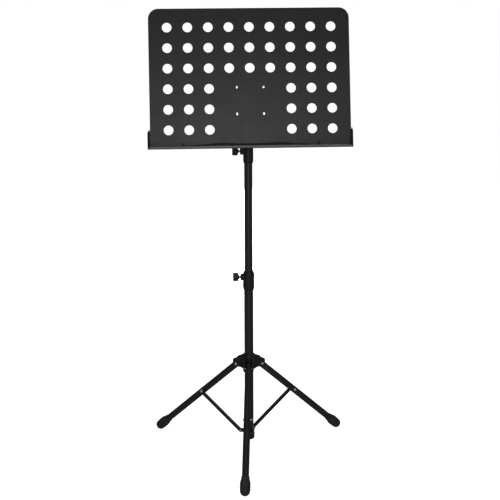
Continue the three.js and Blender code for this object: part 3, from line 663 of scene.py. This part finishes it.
def threaded_rod(low_end, high_end, segments=24):
    """A rod about Z with a real helical thread and chamfered ends."""
    mesh = bmesh.new()
    steps = int((high_end - low_end) / THREAD_PITCH * THREAD_STEPS)
    rings = []
    for step in range(steps + 1):
        height = low_end + (high_end - low_end) * step / steps
        from_end = min(height - low_end, high_end - height)
        ring = []
        for index in range(segments):
            phase = (height / THREAD_PITCH - index / segments) % 1
            groove = THREAD_DEPTH * abs(2 * phase - 1)
            radius = min(SCREW_RADIUS - groove, SCREW_RADIUS - THREAD_CHAMFER + from_end)
            angle = 2 * math.pi * index / segments
            across, up = radius * math.cos(angle), radius * math.sin(angle)
            ring.append(mesh.verts.new((across, up, height)))
        rings.append(ring)
    for lower, upper in zip(rings, rings[1:]):
        for index in range(segments):
            after = (index + 1) % segments
            mesh.faces.new((lower[index], lower[after], upper[after], upper[index]))
    mesh.faces.new(rings[0])
    mesh.faces.new(rings[-1])
    return mesh


def knob_mesh(start=KNOB_NECK):
    """A fluted cap with rounded rims and a dished face, on a short conical neck, about Z."""
    cap = start + KNOB_CAP - KNOB_NECK
    face = start + KNOB_FACE - KNOB_NECK
    bore = SCREW_RADIUS + GAP
    dish = face - KNOB_DISH["depth"]
    profile = softened(
        [
            (0, start + KNOB_BORE_DEPTH),
            (bore, start + KNOB_BORE_DEPTH),
            (bore, start),
            (KNOB_NECK_RADIUS, start, 0.3),
            (KNOB_SHOULDER_RADIUS, cap, 0.5),
            (KNOB_RADIUS, cap, 1.2),
            (KNOB_RADIUS, face, 2.0),
            (KNOB_DISH["rim"], face, 0.5),
            (KNOB_DISH["radius"], dish, 0.5),
            (0, dish),
        ],
        closed=False,
    )
    return lathe(profile, 96, KNOB_FLUTES, KNOB_FLUTE_DEPTH, KNOB_FLUTED_FROM)


def clamp(prefix, azimuth, height, gripped, base_body, clamp_body):
    """A nut, a threaded screw and its knob, set along an azimuth."""
    here = station(azimuth, height) @ ALONG_X
    nut_outer = NUT_INNER + NUT_THICKNESS
    blank = rounded(rod(NUT_CORNER_RADIUS, NUT_INNER, nut_outer, HEX), 0.35)
    nut = fused([blank], [rod(SCREW_HOLE_RADIUS, NUT_INNER - PAST, nut_outer + PAST)])
    piece(f"{prefix}_nut", nut, here, "zinc", base_body)
    screw = threaded_rod(gripped + GAP, KNOB_NECK + KNOB_BORE_DEPTH - GAP)
    piece(f"{prefix}_screw", screw, here, "zinc", clamp_body)
    piece(f"{prefix}_knob", knob_mesh(), here, "knob_plastic", clamp_body)


def boss_parts(azimuth, height):
    """A clamp screw's boss, and what is cut from it, as meshes round the mast."""
    aim = move(0, 0, height) @ turn(math.radians(azimuth), "Z") @ ALONG_X
    profile = softened(
        [
            (0, BOSS_ROOT),
            (BOSS_RADIUS, BOSS_ROOT),
            (BOSS_RADIUS, BOSS_FACE, BOSS_EDGE),
            (0, BOSS_FACE),
        ],
        closed=False,
    )
    hole = rod(SCREW_HOLE_RADIUS, 0, BOSS_FACE + PAST)
    pocket_outer = NUT_INNER + NUT_THICKNESS + GAP
    pocket = rod(NUT_CORNER_RADIUS + NUT_POCKET_GAP, NUT_INNER - GAP, pocket_outer, HEX)
    return moved(lathe(profile), aim), [moved(hole, aim), moved(pocket, aim)]


# ------------------------------------------------------------------ mast


def tube_mesh(inner, outer, low_end, high_end, segments=64):
    profile = softened(
        [
            (inner, low_end, 0.25),
            (outer, low_end, 0.35),
            (outer, high_end, 0.35),
            (inner, high_end, 0.25),
        ]
    )
    return lathe([*profile, profile[0]], segments)


def mast_tube(node, tube, body):
    mesh = tube_mesh(tube["radius"] - TUBE_WALL, tube["radius"], tube["bottom"], tube["top"])
    piece(node, mesh, MAST, "tube_paint", body)


def height_collar(node, collar, outer_tube, inner_tube, body):
    """A clamp collar: tapered at both ends, with a shallow groove under its crown."""
    radius, low_end, high_end = collar["radius"], collar["bottom"], collar["top"]
    groove = high_end - COLLAR_TAPER - COLLAR_GROOVE["below_taper"]
    profile = softened(
        [
            (0, low_end),
            (outer_tube["radius"] + COLLAR_SKIRT, low_end, 0.4),
            (radius, low_end + COLLAR_TAPER, 1.5),
            (radius, groove - COLLAR_GROOVE["width"], 0.3),
            (radius - COLLAR_GROOVE["depth"], groove - COLLAR_GROOVE["width"] / 2, 0.3),
            (radius, groove, 0.3),
            (radius, high_end - COLLAR_TAPER, 1.5),
            (inner_tube["radius"] + COLLAR_CROWN, high_end, 0.6),
            (0, high_end),
        ],
        closed=False,
    )
    boss, cuts = boss_parts(180, collar["screw"])
    outer_bore = rod(outer_tube["radius"] + GAP, low_end - PAST, outer_tube["top"] + GAP, 64)
    inner_bore = rod(inner_tube["radius"] + GAP, low_end - PAST, high_end + PAST, 64)
    mesh = fused([lathe(profile, 64), boss], [outer_bore, inner_bore, *cuts])
    piece(node, mesh, MAST, "plastic", body)


def end_cap():
    """The plug in the foot of the mast, with a slightly crowned face."""
    plug = LOWER_TUBE["radius"] - TUBE_WALL - GAP
    flange = LOWER_TUBE["bottom"] - GAP
    profile = softened(
        [
            (0, END_CAP_BOTTOM),
            (LOWER_TUBE["radius"], END_CAP_BOTTOM + 0.6, 1.2),
            (LOWER_TUBE["radius"], flange, 0.3),
            (plug, flange),
            (plug, LOWER_TUBE["bottom"] + PLUG_LENGTH, 0.8),
            (0, LOWER_TUBE["bottom"] + PLUG_LENGTH),
        ],
        closed=False,
    )
    piece("mast_end_cap", lathe(profile), MAST, "plastic", "mast_base")


def guide(node, tube, body):
    """A bush in a tube's lower end, with a flange under the tube and a through bore."""
    plug = tube["radius"] - TUBE_WALL - GAP
    low_end = tube["bottom"] - GUIDE_FLANGE
    high_end = tube["bottom"] + PLUG_LENGTH
    profile = softened(
        [
            (GUIDE_BORE, low_end, 0.3),
            (tube["radius"], low_end, 0.5),
            (tube["radius"], tube["bottom"] - GAP, 0.3),
            (plug, tube["bottom"] - GAP),
            (plug, high_end, 0.6),
            (GUIDE_BORE, high_end, 0.3),
        ]
    )
    piece(node, lathe([*profile, profile[0]]), MAST, "plastic", body)


def mast():
    mast_tube("lower_tube", LOWER_TUBE, "mast_base")
    mast_tube("mid_tube", MID_TUBE, "mid_mast")
    mast_tube("top_tube", TOP_TUBE, "top_mast")
    end_cap()
    guide("mid_guide", MID_TUBE, "mid_slider")
    guide("top_guide", TOP_TUBE, "top_slider")
    height_collar("lower_collar", LOWER_COLLAR, LOWER_TUBE, MID_TUBE, "mast_base")
    height_collar("upper_collar", UPPER_COLLAR, MID_TUBE, TOP_TUBE, "mid_mast")
    clamp("lower", 180, LOWER_COLLAR["screw"], MID_TUBE["radius"], "mast_base", "lower_clamp")
    clamp("upper", 180, UPPER_COLLAR["screw"], TOP_TUBE["radius"], "mid_mast", "upper_clamp")


# ------------------------------------------------------------------ tripod


def leg_hub():
    """The sliding sleeve with a pair of rounded cheeks for each leg and a clamp boss behind.

    A cheek's corners are (out from the mast, height, how far the rounding reaches).
    """
    sleeve = softened(
        [
            (0, HUB_BOTTOM),
            (HUB_RIM_RADIUS, HUB_BOTTOM, 0.5),
            (HUB_RADIUS, HUB_BOTTOM + HUB_TAPER, 2),
            (HUB_RADIUS, HUB_TOP - HUB_TAPER, 2),
            (HUB_RIM_RADIUS, HUB_TOP, 0.5),
            (0, HUB_TOP),
        ],
        closed=False,
    )
    cheek = softened(
        [
            (CHEEK_ROOT, HUB_BOTTOM + 5),
            (19, HUB_BOTTOM + 9, 3),
            (CHEEK_TIP - 3, HUB_BOTTOM + 8, 3),
            (CHEEK_TIP, HUB_BOTTOM + 11.5, 3),
            (CHEEK_TIP, HUB_TOP - 20, 2),
            (CHEEK_TIP - 2.5, HUB_TOP - 17, 2),
            (28, HUB_TOP - 12, 4),
            (18, HUB_TOP - 5, 3),
            (CHEEK_ROOT, HUB_TOP - 3),
        ]
    )
    outer = CHEEK_INNER + CHEEK_THICKNESS
    cheeks = [
        moved(plate_xz(cheek, near, far, 0.7), turn(math.radians(azimuth), "Z"))
        for azimuth in LEG_AZIMUTHS.values()
        for near, far in ((CHEEK_INNER, outer), (-outer, -CHEEK_INNER))
    ]
    boss, cuts = boss_parts(90, HUB_SCREW_HEIGHT)
    bore = rod(LOWER_TUBE["radius"] + GAP, HUB_BOTTOM - PAST, HUB_TOP + PAST, 64)
    mesh = fused([lathe(sleeve, 64), *cheeks, boss], [bore, *cuts])
    piece("leg_hub", mesh, MAST, "plastic", "hub")
    clamp("hub", 90, HUB_SCREW_HEIGHT, LOWER_TUBE["radius"], "hub", "hub_clamp")


def spreader_hub():
    """The ring round the foot of the mast, with a rounded lug beside each leg."""
    ring = softened(
        [
            (0, SPREADER_BOTTOM),
            (SPREADER_RADIUS, SPREADER_BOTTOM, 1.5),
            (SPREADER_RADIUS, SPREADER_TOP, 0.8),
            (0, SPREADER_TOP),
        ],
        closed=False,
    )
    tip, middle = STRUT_FOOT["radius"], STRUT_FOOT["height"]
    arc = [math.radians(-90 + 15 * step) for step in range(13)]
    lug = [(LUG_ROOT, middle - LUG_RADIUS)]
    lug += around(tip, middle, LUG_RADIUS, arc)
    lug += [(LUG_ROOT, middle + LUG_RADIUS)]
    lugs = [
        moved(
            plate_xz(lug, LUG_INNER, LUG_INNER + LUG_THICKNESS, 0.5),
            turn(math.radians(azimuth), "Z"),
        )
        for azimuth in LEG_AZIMUTHS.values()
    ]
    bore = rod(LOWER_TUBE["radius"] + GAP, SPREADER_BOTTOM - PAST, SPREADER_TOP + PAST, 64)
    piece("spreader_hub", fused([lathe(ring, 64), *lugs], [bore]), MAST, "plastic", "mast_base")


def leg_boot(side):
    """A rubber boot: a beaded rim, a sleeve that swells into a ribbed barrel, and a flat sole."""
    start = LEG_LENGTH - BOOT_SLEEVE
    cavity = LEG_LENGTH - LEG_TUBE_END + GAP
    bead = BOOT_RIM_RADIUS + BOOT_BEAD
    valley = BOOT_BARREL_RADIUS - BOOT_RIBS["depth"]
    ribs = []
    for index in range(BOOT_RIBS["count"]):
        along = start + BOOT_RIBS["start"] + index * BOOT_RIBS["pitch"]
        ribs += [
            (valley, along),
            (BOOT_BARREL_RADIUS, along + BOOT_RIBS["slope"]),
            (BOOT_BARREL_RADIUS, along + BOOT_RIBS["width"] - BOOT_RIBS["slope"]),
            (valley, along + BOOT_RIBS["width"]),
        ]
    ball = around(0, LEG_LENGTH, BOOT_RADIUS, [math.radians(step * 9) for step in range(11)])
    profile = [
        (0, cavity),
        (LEG_RADIUS + GAP, cavity),
        (LEG_RADIUS + GAP, start + 0.3),
        (LEG_RADIUS + GAP + 0.3, start),
        (BOOT_RIM_RADIUS, start),
        (bead, start + 0.5),
        (bead, start + 2.4),
        (BOOT_RIM_RADIUS, start + 3),
        *((radius, start + along) for radius, along in BOOT_SHOULDER),
        *ribs,
        *((radius, start + along) for radius, along in BOOT_WAIST),
        *ball,
        (0, LEG_LENGTH + BOOT_RADIUS),
    ]
    in_stand = station(LEG_AZIMUTHS[side]).inverted() @ leg_frame(side) @ ALONG_X
    mesh = moved(lathe(profile, 56), in_stand)
    bmesh.ops.bisect_plane(
        mesh,
        geom=[*mesh.verts, *mesh.edges, *mesh.faces],
        plane_co=(0, 0, 0),
        plane_no=(0, 0, -1),
        clear_outer=True,
    )
    rim = [edge for edge in mesh.edges if edge.is_boundary]
    bmesh.ops.holes_fill(mesh, edges=rim)
    piece(f"leg_boot_{side}", mesh, station(LEG_AZIMUTHS[side]), "rubber", f"leg_{side}")


def capsule(half_width, length, steps=14):
    """A long outline with round ends about its two pivots."""
    right = [math.radians(-90 + 180 * step / steps) for step in range(steps + 1)]
    left = [math.radians(90 + 180 * step / steps) for step in range(steps + 1)]
    return around(length, 0, half_width, right) + around(0, 0, half_width, left)


def strut(side):
    """A pressed channel with round ends, open towards the leg."""
    outer = STRUT_INNER + STRUT_THICKNESS
    rings_at = [
        (STRUT_HALF_WIDTH - STRUT_WEB, outer - STRUT_WEB),
        (STRUT_HALF_WIDTH - STRUT_WEB, STRUT_INNER),
        (STRUT_HALF_WIDTH, STRUT_INNER),
        (STRUT_HALF_WIDTH, outer - STRUT_EDGE),
        (STRUT_HALF_WIDTH - STRUT_EDGE_MIDDLE, outer - STRUT_EDGE_MIDDLE),
        (STRUT_HALF_WIDTH - STRUT_EDGE, outer),
    ]
    mesh = bmesh.new()
    rings = [
        [mesh.verts.new((x, level, z)) for x, z in capsule(half_width, STRUT_LENGTH)]
        for half_width, level in rings_at
    ]
    mesh.faces.new(rings[0])
    mesh.faces.new(rings[-1])
    count = len(rings[0])
    for lower, upper in zip(rings, rings[1:]):
        for index in range(count):
            after = (index + 1) % count
            mesh.faces.new((lower[index], lower[after], upper[after], upper[index]))
    piece(f"strut_{side}", mesh, strut_frame(side), "tube_paint", f"strut_{side}")
    rivet = single_rivet(PIN_RADIUS, LEG_RADIUS + GAP * 3, outer + GAP)
    top = strut_frame(side) @ move(STRUT_LENGTH, 0, 0) @ ALONG_Y
    piece(f"strut_rivet_{side}", rivet, top, "zinc", f"strut_{side}")
    pin = double_rivet(PIN_RADIUS, LUG_INNER - GAP, outer + GAP, STRUT_PIN_HEAD)
    foot = station(LEG_AZIMUTHS[side]) @ move(STRUT_FOOT["radius"], 0, STRUT_FOOT["height"])
    piece(f"strut_pin_{side}", pin, foot @ ALONG_Y, "zinc", "mast_base")


def leg(side):
    """A leg's tube, its boot, its pin in the hub and the rivet that its strut turns on."""
    along = leg_frame(side)
    body = f"leg_{side}"
    tube = tube_mesh(LEG_RADIUS - TUBE_WALL, LEG_RADIUS, -LEG_TOP, LEG_LENGTH - LEG_TUBE_END, 56)
    piece(f"leg_tube_{side}", tube, along @ ALONG_X, "tube_paint", body)
    leg_boot(side)
    half = CHEEK_INNER + CHEEK_THICKNESS + GAP
    pin = double_rivet(LEG_PIN_RADIUS, -half, half, LEG_PIN_HEAD)
    piece(f"leg_pin_{side}", pin, along @ ALONG_Y, "zinc", "hub")
    rivet = single_rivet(PIN_RADIUS, -LEG_RADIUS - GAP * 2, LEG_RADIUS + GAP)
    place = along @ move(STRUT_ON_LEG, 0, 0) @ turn(math.pi, "Z") @ ALONG_Y
    piece(f"leg_rivet_{side}", rivet, place, "zinc", body)


def tripod():
    leg_hub()
    spreader_hub()
    for side in LEG_AZIMUTHS:
        leg(side)
        strut(side)


# ------------------------------------------------------------------ desk


def hole_centres():
    """The whole grid but for the plain field in the middle of the lower rows."""
    for row in range(HOLE_ROWS):
        for column in range(HOLE_COLUMNS):
            across = column - (HOLE_COLUMNS - 1) / 2
            if row < PLAIN_FIELD and abs(across) <= (PLAIN_FIELD - 1) / 2:
                continue
            yield across * HOLE_PITCH, (row - (HOLE_ROWS - 1) / 2) * HOLE_PITCH


SHELF_RIVETS = [(sign * SHELF_RIVET_OFFSET, SHELF_RIVET_HEIGHT) for sign in (-1, 1)]
BRACKET_RIVETS = [
    (x * BRACKET_RIVET_PITCH / 2, z * BRACKET_RIVET_PITCH / 2 - PIVOT_BELOW_GRID)
    for x, z in ((-1, -1), (1, -1), (-1, 1), (1, 1))
]


def relief(across):
    """How far the panel's lower edge stands clear of the shelf, in two low arches."""
    distance = abs(across)
    if distance > PANEL_RELIEF_PEAK:
        t = (PANEL_RELIEF_END - distance) / (PANEL_RELIEF_END - PANEL_RELIEF_PEAK)
        return PANEL_RELIEF * max(t, 0) ** 1.6
    t = distance / PANEL_RELIEF_PEAK
    return PANEL_RELIEF_MIDDLE + (PANEL_RELIEF - PANEL_RELIEF_MIDDLE) * t**3


def desk_panel():
    """The perforated sheet, from flat curves whose edges are rounded all the way round."""
    half = PANEL_WIDTH / 2
    inset = half - PANEL_FOOT_CHAMFER
    foot = PANEL_BOTTOM + PANEL_FOOT_CHAMFER
    up = PANEL_TOP - PANEL_CORNER
    outline = []
    for across, first in ((half - PANEL_CORNER, 0), (-half + PANEL_CORNER, 90)):
        angles = [math.radians(first + 90 * step / 12) for step in range(13)]
        outline += around(across, up, PANEL_CORNER, angles)
    outline += [(-half, foot), (-inset, PANEL_BOTTOM)]
    arches = range(-PANEL_RELIEF_END, PANEL_RELIEF_END + 1, 5)
    outline += [(x, PANEL_BOTTOM + relief(x)) for x in arches]
    outline += [(inset, PANEL_BOTTOM), (half, foot)]
    full_turn = [2 * math.pi * step / HOLE_SIDES for step in range(HOLE_SIDES)]
    holes = [around(across, up, HOLE_RADIUS, full_turn) for across, up in hole_centres()]
    curve = bpy.data.curves.new("panel_outline", "CURVE")
    curve.dimensions = "2D"
    curve.fill_mode = "BOTH"
    curve.extrude = PANEL_THICKNESS / 2 - PANEL_EDGE
    curve.bevel_depth = PANEL_EDGE
    curve.bevel_resolution = 1
    curve.offset = -PANEL_EDGE
    for loop in [outline, *holes]:
        spline = curve.splines.new("POLY")
        spline.points.add(len(loop) - 1)
        for point, (x, y) in zip(spline.points, loop):
            point.co = (x, y, 0, 1)
        spline.use_cyclic_u = True
    holder = bpy.data.objects.new("panel_outline", curve)
    bpy.context.scene.collection.objects.link(holder)
    evaluated = holder.evaluated_get(bpy.context.evaluated_depsgraph_get())
    mesh = bmesh.new()
    mesh.from_mesh(evaluated.to_mesh())
    evaluated.to_mesh_clear()
    bpy.data.objects.remove(holder)
    bpy.data.curves.remove(curve)
    bmesh.ops.remove_doubles(mesh, verts=mesh.verts, dist=1e-3)
    upright = move(0, PANEL_THICKNESS / 2, 0) @ turn(math.pi / 2, "X")
    piece("desk_panel", mesh, GRID @ upright, "panel_paint", "desk")


def shelf_top(y):
    """The height of the shelf's upper face at a depth."""
    return SHELF_CORNER_HEIGHT + math.tan(SHELF_DROP) * y


def shelf():
    """The bent channel with its lip, the strip behind the panel and an end flange each side."""
    half = SHELF_WIDTH / 2
    back_inner = PANEL_THICKNESS + GAP
    back_outer = back_inner + SHELF_SHEET
    down = SHELF_SHEET / math.cos(SHELF_DROP)
    front = -SHELF_DEPTH
    lip_inner = front + SHELF_SHEET
    section = softened(
        [
            (back_outer, SHELF_BACK_TOP, 0.4),
            (back_inner, SHELF_BACK_TOP, 0.4),
            (back_inner, shelf_top(back_inner), 0.6),
            (lip_inner, shelf_top(lip_inner), 0.5),
            (lip_inner, shelf_top(front) + SHELF_LIP, 0.5),
            (front, shelf_top(front) + SHELF_LIP, 0.5),
            (front, shelf_top(front) - down, 1.4),
            (back_outer, shelf_top(back_outer) - down, 1.6),
        ]
    )
    slope = math.atan2(END_FLANGE_BACK - END_FLANGE_FRONT, SHELF_DEPTH)
    corner_y = front + END_FLANGE_CORNER
    corner_z = END_FLANGE_FRONT - END_FLANGE_CORNER_DROP
    side = [(front, shelf_top(front) - down), (back_outer, shelf_top(back_outer) - down)]
    side += [(back_outer, END_FLANGE_BACK)]
    first, sweep = math.pi / 2 - slope, math.pi / 2 + slope
    angles = [first + sweep * step / 10 for step in range(11)]
    side += around(corner_y, corner_z, END_FLANGE_CORNER, angles)
    channel = plate_yz(section, -half, half, 0)
    flanges = [
        plate_yz(side, near, far, 0.35)
        for near, far in ((-half, -half + SHELF_SHEET), (half - SHELF_SHEET, half))
    ]
    near, far = half - END_TAB, half - END_TAB_INSET
    tabs = [
        plate_xz(rectangle(a, b, END_TAB_BOTTOM, END_TAB_TOP), back_inner, back_outer, 0.3)
        for a, b in ((-far, -near), (near, far))
    ]
    mesh = fused([channel, *flanges, *tabs])
    for vertex in mesh.verts:
        vertex.co.x += SHELF_SKEW * vertex.co.y
    piece("shelf", mesh, GRID, "panel_paint", "desk")


def crease_shade_strip():
    """Painted shade: a thin strip of dark rubber between the panel and the shelf's back, seen
    through the arches, stands in for the shade in the crease.
    """
    reach = PANEL_RELIEF_END + SHADE_STRIP_PAST
    top = PANEL_BOTTOM + PANEL_RELIEF + SHADE_STRIP_RISE
    outline = rectangle(-reach, reach, shelf_top(0) + GAP, top)
    near = PANEL_THICKNESS + SHADE_STRIP_CLEARANCE
    far = PANEL_THICKNESS + GAP - SHADE_STRIP_CLEARANCE
    strip = plate_xz(outline, near, far, 0)
    piece("crease_shade_strip", strip, GRID, "rubber", "desk", replaces=False)


def desk_bracket():
    """The plate behind the panel and its two ears, set about the tilt axis."""
    back = PANEL_THICKNESS + GAP
    half = BRACKET_SIDE / 2
    corners = [(x, z, BRACKET_CORNER) for x, z in rectangle(-half, half, -half, half)]
    face = back - PIVOT_TO_PANEL
    sheet = plate_xz(softened(corners, steps=6), face, face + BRACKET_SHEET, 0.35)
    moved(sheet, move(PANEL_SIDE_OFFSET, 0, 0))
    root = face + BRACKET_SHEET / 2
    wrap = [math.radians(EAR_WRAP * (step / 8 - 1)) for step in range(17)]
    rounding = around(0, 0, EAR_END_RADIUS, wrap)
    outline = [(root, -EAR_BASE_HALF), *rounding, (root, EAR_BASE_HALF)]
    outer = EAR_INNER + EAR_SHEET
    ears = [
        plate_yz(outline, near, far, 0.35)
        for near, far in ((-outer, -EAR_INNER), (EAR_INNER, outer))
    ]
    hole = moved(rod(SCREW_HOLE_RADIUS, -outer - PAST, outer + PAST), ALONG_X)
    piece("desk_bracket", fused([sheet, *ears], [hole]), TILTED, "tube_paint", "desk")


def sheet_rivets(prefix, places, gripped, material):
    """Rivets through the panel and what lies behind it, at (across, up) on the desk."""
    for index, (x, z) in enumerate(places, start=1):
        place = GRID @ move(x, 0, z) @ turn(math.pi / 2, "X")
        rivet = double_rivet(PIN_RADIUS, -gripped - GAP, GAP)
        piece(f"{prefix}_{index}", rivet, place, material, "desk")


def tilt_joint():
    """The head on the mast, the bolt, its washers and its knob."""
    tongue_foot, socket_top = TONGUE_START - HEAD_BORE_END, SOCKET_END - HEAD_BORE_END
    tongue = [(-HEAD_RADIUS, tongue_foot), (HEAD_RADIUS, tongue_foot)]
    tongue += around(0, 0, HEAD_RADIUS, [math.pi * step / 18 for step in range(19)])
    body = plate_yz(tongue, -HEAD_HALF_WIDTH, HEAD_HALF_WIDTH, 0.8)
    socket = lathe(
        softened(
            [
                (0, -HEAD_SOCKET_LENGTH),
                (HEAD_SOCKET_RADIUS, -HEAD_SOCKET_LENGTH, 0.8),
                (HEAD_SOCKET_RADIUS, socket_top, 1.2),
                (0, socket_top),
            ],
            closed=False,
        ),
        56,
    )
    bore = rod(TOP_TUBE["radius"] + GAP, -HEAD_SOCKET_LENGTH - PAST, -HEAD_BORE_END, 56)
    through = HEAD_HALF_WIDTH + PAST
    hole = moved(rod(SCREW_HOLE_RADIUS, -through, through), ALONG_X)
    piece("tilt_head", fused([body, socket], [bore, hole]), DESK, "plastic", "top_mast")
    face = EAR_INNER + EAR_SHEET + GAP
    shank = moved(threaded_rod(-(face + KNOB_BORE_DEPTH - GAP), face + 1), ALONG_X)
    head = rounded(rod(NUT_CORNER_RADIUS, face, face + TILT_BOLT_HEAD, HEX), 0.4)
    moved(head, ALONG_X)
    piece("tilt_bolt", fused([head, shank]), TILTED, "zinc", "desk")
    for side, sign in (("left", -1), ("right", 1)):
        middle = sign * (HEAD_HALF_WIDTH + EAR_INNER) / 2
        near, far = middle - WASHER_THICKNESS / 2, middle + WASHER_THICKNESS / 2
        ring = tube_mesh(SCREW_HOLE_RADIUS, WASHER_RADIUS, near, far, 40)
        piece(f"friction_washer_{side}", ring, TILTED @ ALONG_X, "plastic", "desk")
    place = DESK @ turn(math.pi, "Z") @ ALONG_X
    piece("tilt_knob", knob_mesh(face), place, "knob_plastic", "tilt_clamp")


def desk():
    desk_panel()
    shelf()
    # painted shade: a dark strip in the crease behind the panel's arches
    crease_shade_strip()
    desk_bracket()
    sheet_rivets("bracket_rivet", BRACKET_RIVETS, PANEL_THICKNESS + GAP + BRACKET_SHEET, "zinc")
    sheet_rivets("shelf_rivet", SHELF_RIVETS, PANEL_THICKNESS + GAP + SHELF_SHEET, "panel_paint")
    tilt_joint()


# ------------------------------------------------------------------ stage, light and camera
# Sizes and places of the floor, walls and lamps are in metres, those of the camera in millimetres.

FLOOR_GLOW = 0.96
WALL_GLOW = 1.0
BACKDROP_SHADE = 0.2
STAGE_RADIUS = 30
STAGE_HEIGHT = 20
WALL_FOOT = -0.01
ROOM_LIGHT = 0.2
SCREEN_GAMMA = 0.8

LENS = 91.83
SENSOR = 36
EYE = (-43.2, -3122.7, 1403.5)  # from the foot of the mast
HEADING = math.radians(-0.86)
LOOK_DOWN = 0.2682
ROLL = -0.00342


def backdrop(name, mesh, glow, only_seen):
    """A dull surface that glows nearly white, as a lit table does, so that shadows stay faint.

    It isn't mirrored in the stand. One that is only seen neither lights nor shades it.
    """
    data = bpy.data.meshes.new(name)
    mesh.to_mesh(data)
    mesh.free()
    nodes = Nodes(name)
    nodes.shader.inputs["Base Color"].default_value = (*[BACKDROP_SHADE] * 3, 1)
    nodes.shader.inputs["Emission Color"].default_value = (1, 1, 1, 1)
    nodes.set(Roughness=0.9, Specular_IOR_Level=0.0, Emission_Strength=glow)
    data.materials.append(nodes.material)
    made = bpy.data.objects.new(name, data)
    made.visible_glossy = False
    if only_seen:
        made.visible_diffuse = False
        made.visible_shadow = False
    bpy.context.scene.collection.objects.link(made)


def stage():
    """A plain floor, and walls with a ceiling far round it so that every view ends in white."""
    floor = bmesh.new()
    bmesh.ops.create_grid(floor, x_segments=1, y_segments=1, size=STAGE_RADIUS)
    backdrop("floor", floor, FLOOR_GLOW, only_seen=False)
    section = [(STAGE_RADIUS, WALL_FOOT), (STAGE_RADIUS, STAGE_HEIGHT), (0, STAGE_HEIGHT)]
    backdrop("walls", lathe(section, 64), WALL_GLOW, only_seen=True)


def softbox(name, location, target, size, power, mirrored=True):
    """A round soft lamp, in metres and watts, aimed at a target."""
    data = bpy.data.lights.new(name, "AREA")
    data.shape = "DISK"
    data.size = size
    data.energy = power
    lamp = bpy.data.objects.new(name, data)
    lamp.location = location
    lamp.rotation_euler = (Vector(target) - Vector(location)).to_track_quat("-Z", "Y").to_euler()
    lamp.visible_camera = False
    lamp.visible_glossy = mirrored
    bpy.context.scene.collection.objects.link(lamp)


def light():
    """A dim white room with softboxes close to the camera, low in front, overhead and behind.

    The one behind isn't mirrored, or a desk turned edge on would shine as white as the room.
    """
    world = bpy.data.worlds.new("studio")
    world.use_nodes = True
    background = world.node_tree.nodes["Background"]
    background.inputs["Color"].default_value = (1, 1, 1, 1)
    background.inputs["Strength"].default_value = ROOM_LIGHT
    bpy.context.scene.world = world
    bpy.context.scene.view_settings.view_transform = "Standard"
    bpy.context.scene.view_settings.gamma = SCREEN_GAMMA
    softbox("front_softbox", (0.2, -3.4, 1.75), (0, 0, 0.8), 1.2, 54)
    softbox("low_softbox", (-0.15, -3.4, 0.45), (0, 0, 0.75), 0.45, 30)
    softbox("top_softbox", (0.2, 0.35, 3.2), (0, 0, 0.6), 1.4, 55)
    softbox("back_softbox", (0.3, 3.2, 0.9), (0, 0, 0.8), 1.6, 240, mirrored=False)


def camera():
    """Looks down a little from in front, at the height of a standing eye."""
    data = bpy.data.cameras.new("camera")
    data.sensor_width = SENSOR
    data.lens = LENS
    made = bpy.data.objects.new("camera", data)
    aim = turn(HEADING, "Z") @ turn(math.pi / 2 - LOOK_DOWN, "X") @ turn(ROLL, "Z")
    made.matrix_world = MAST @ move(*EYE) @ aim
    bpy.context.scene.collection.objects.link(made)
    bpy.context.scene.camera = made


mast()
tripod()
desk()
stage()
light()
camera()
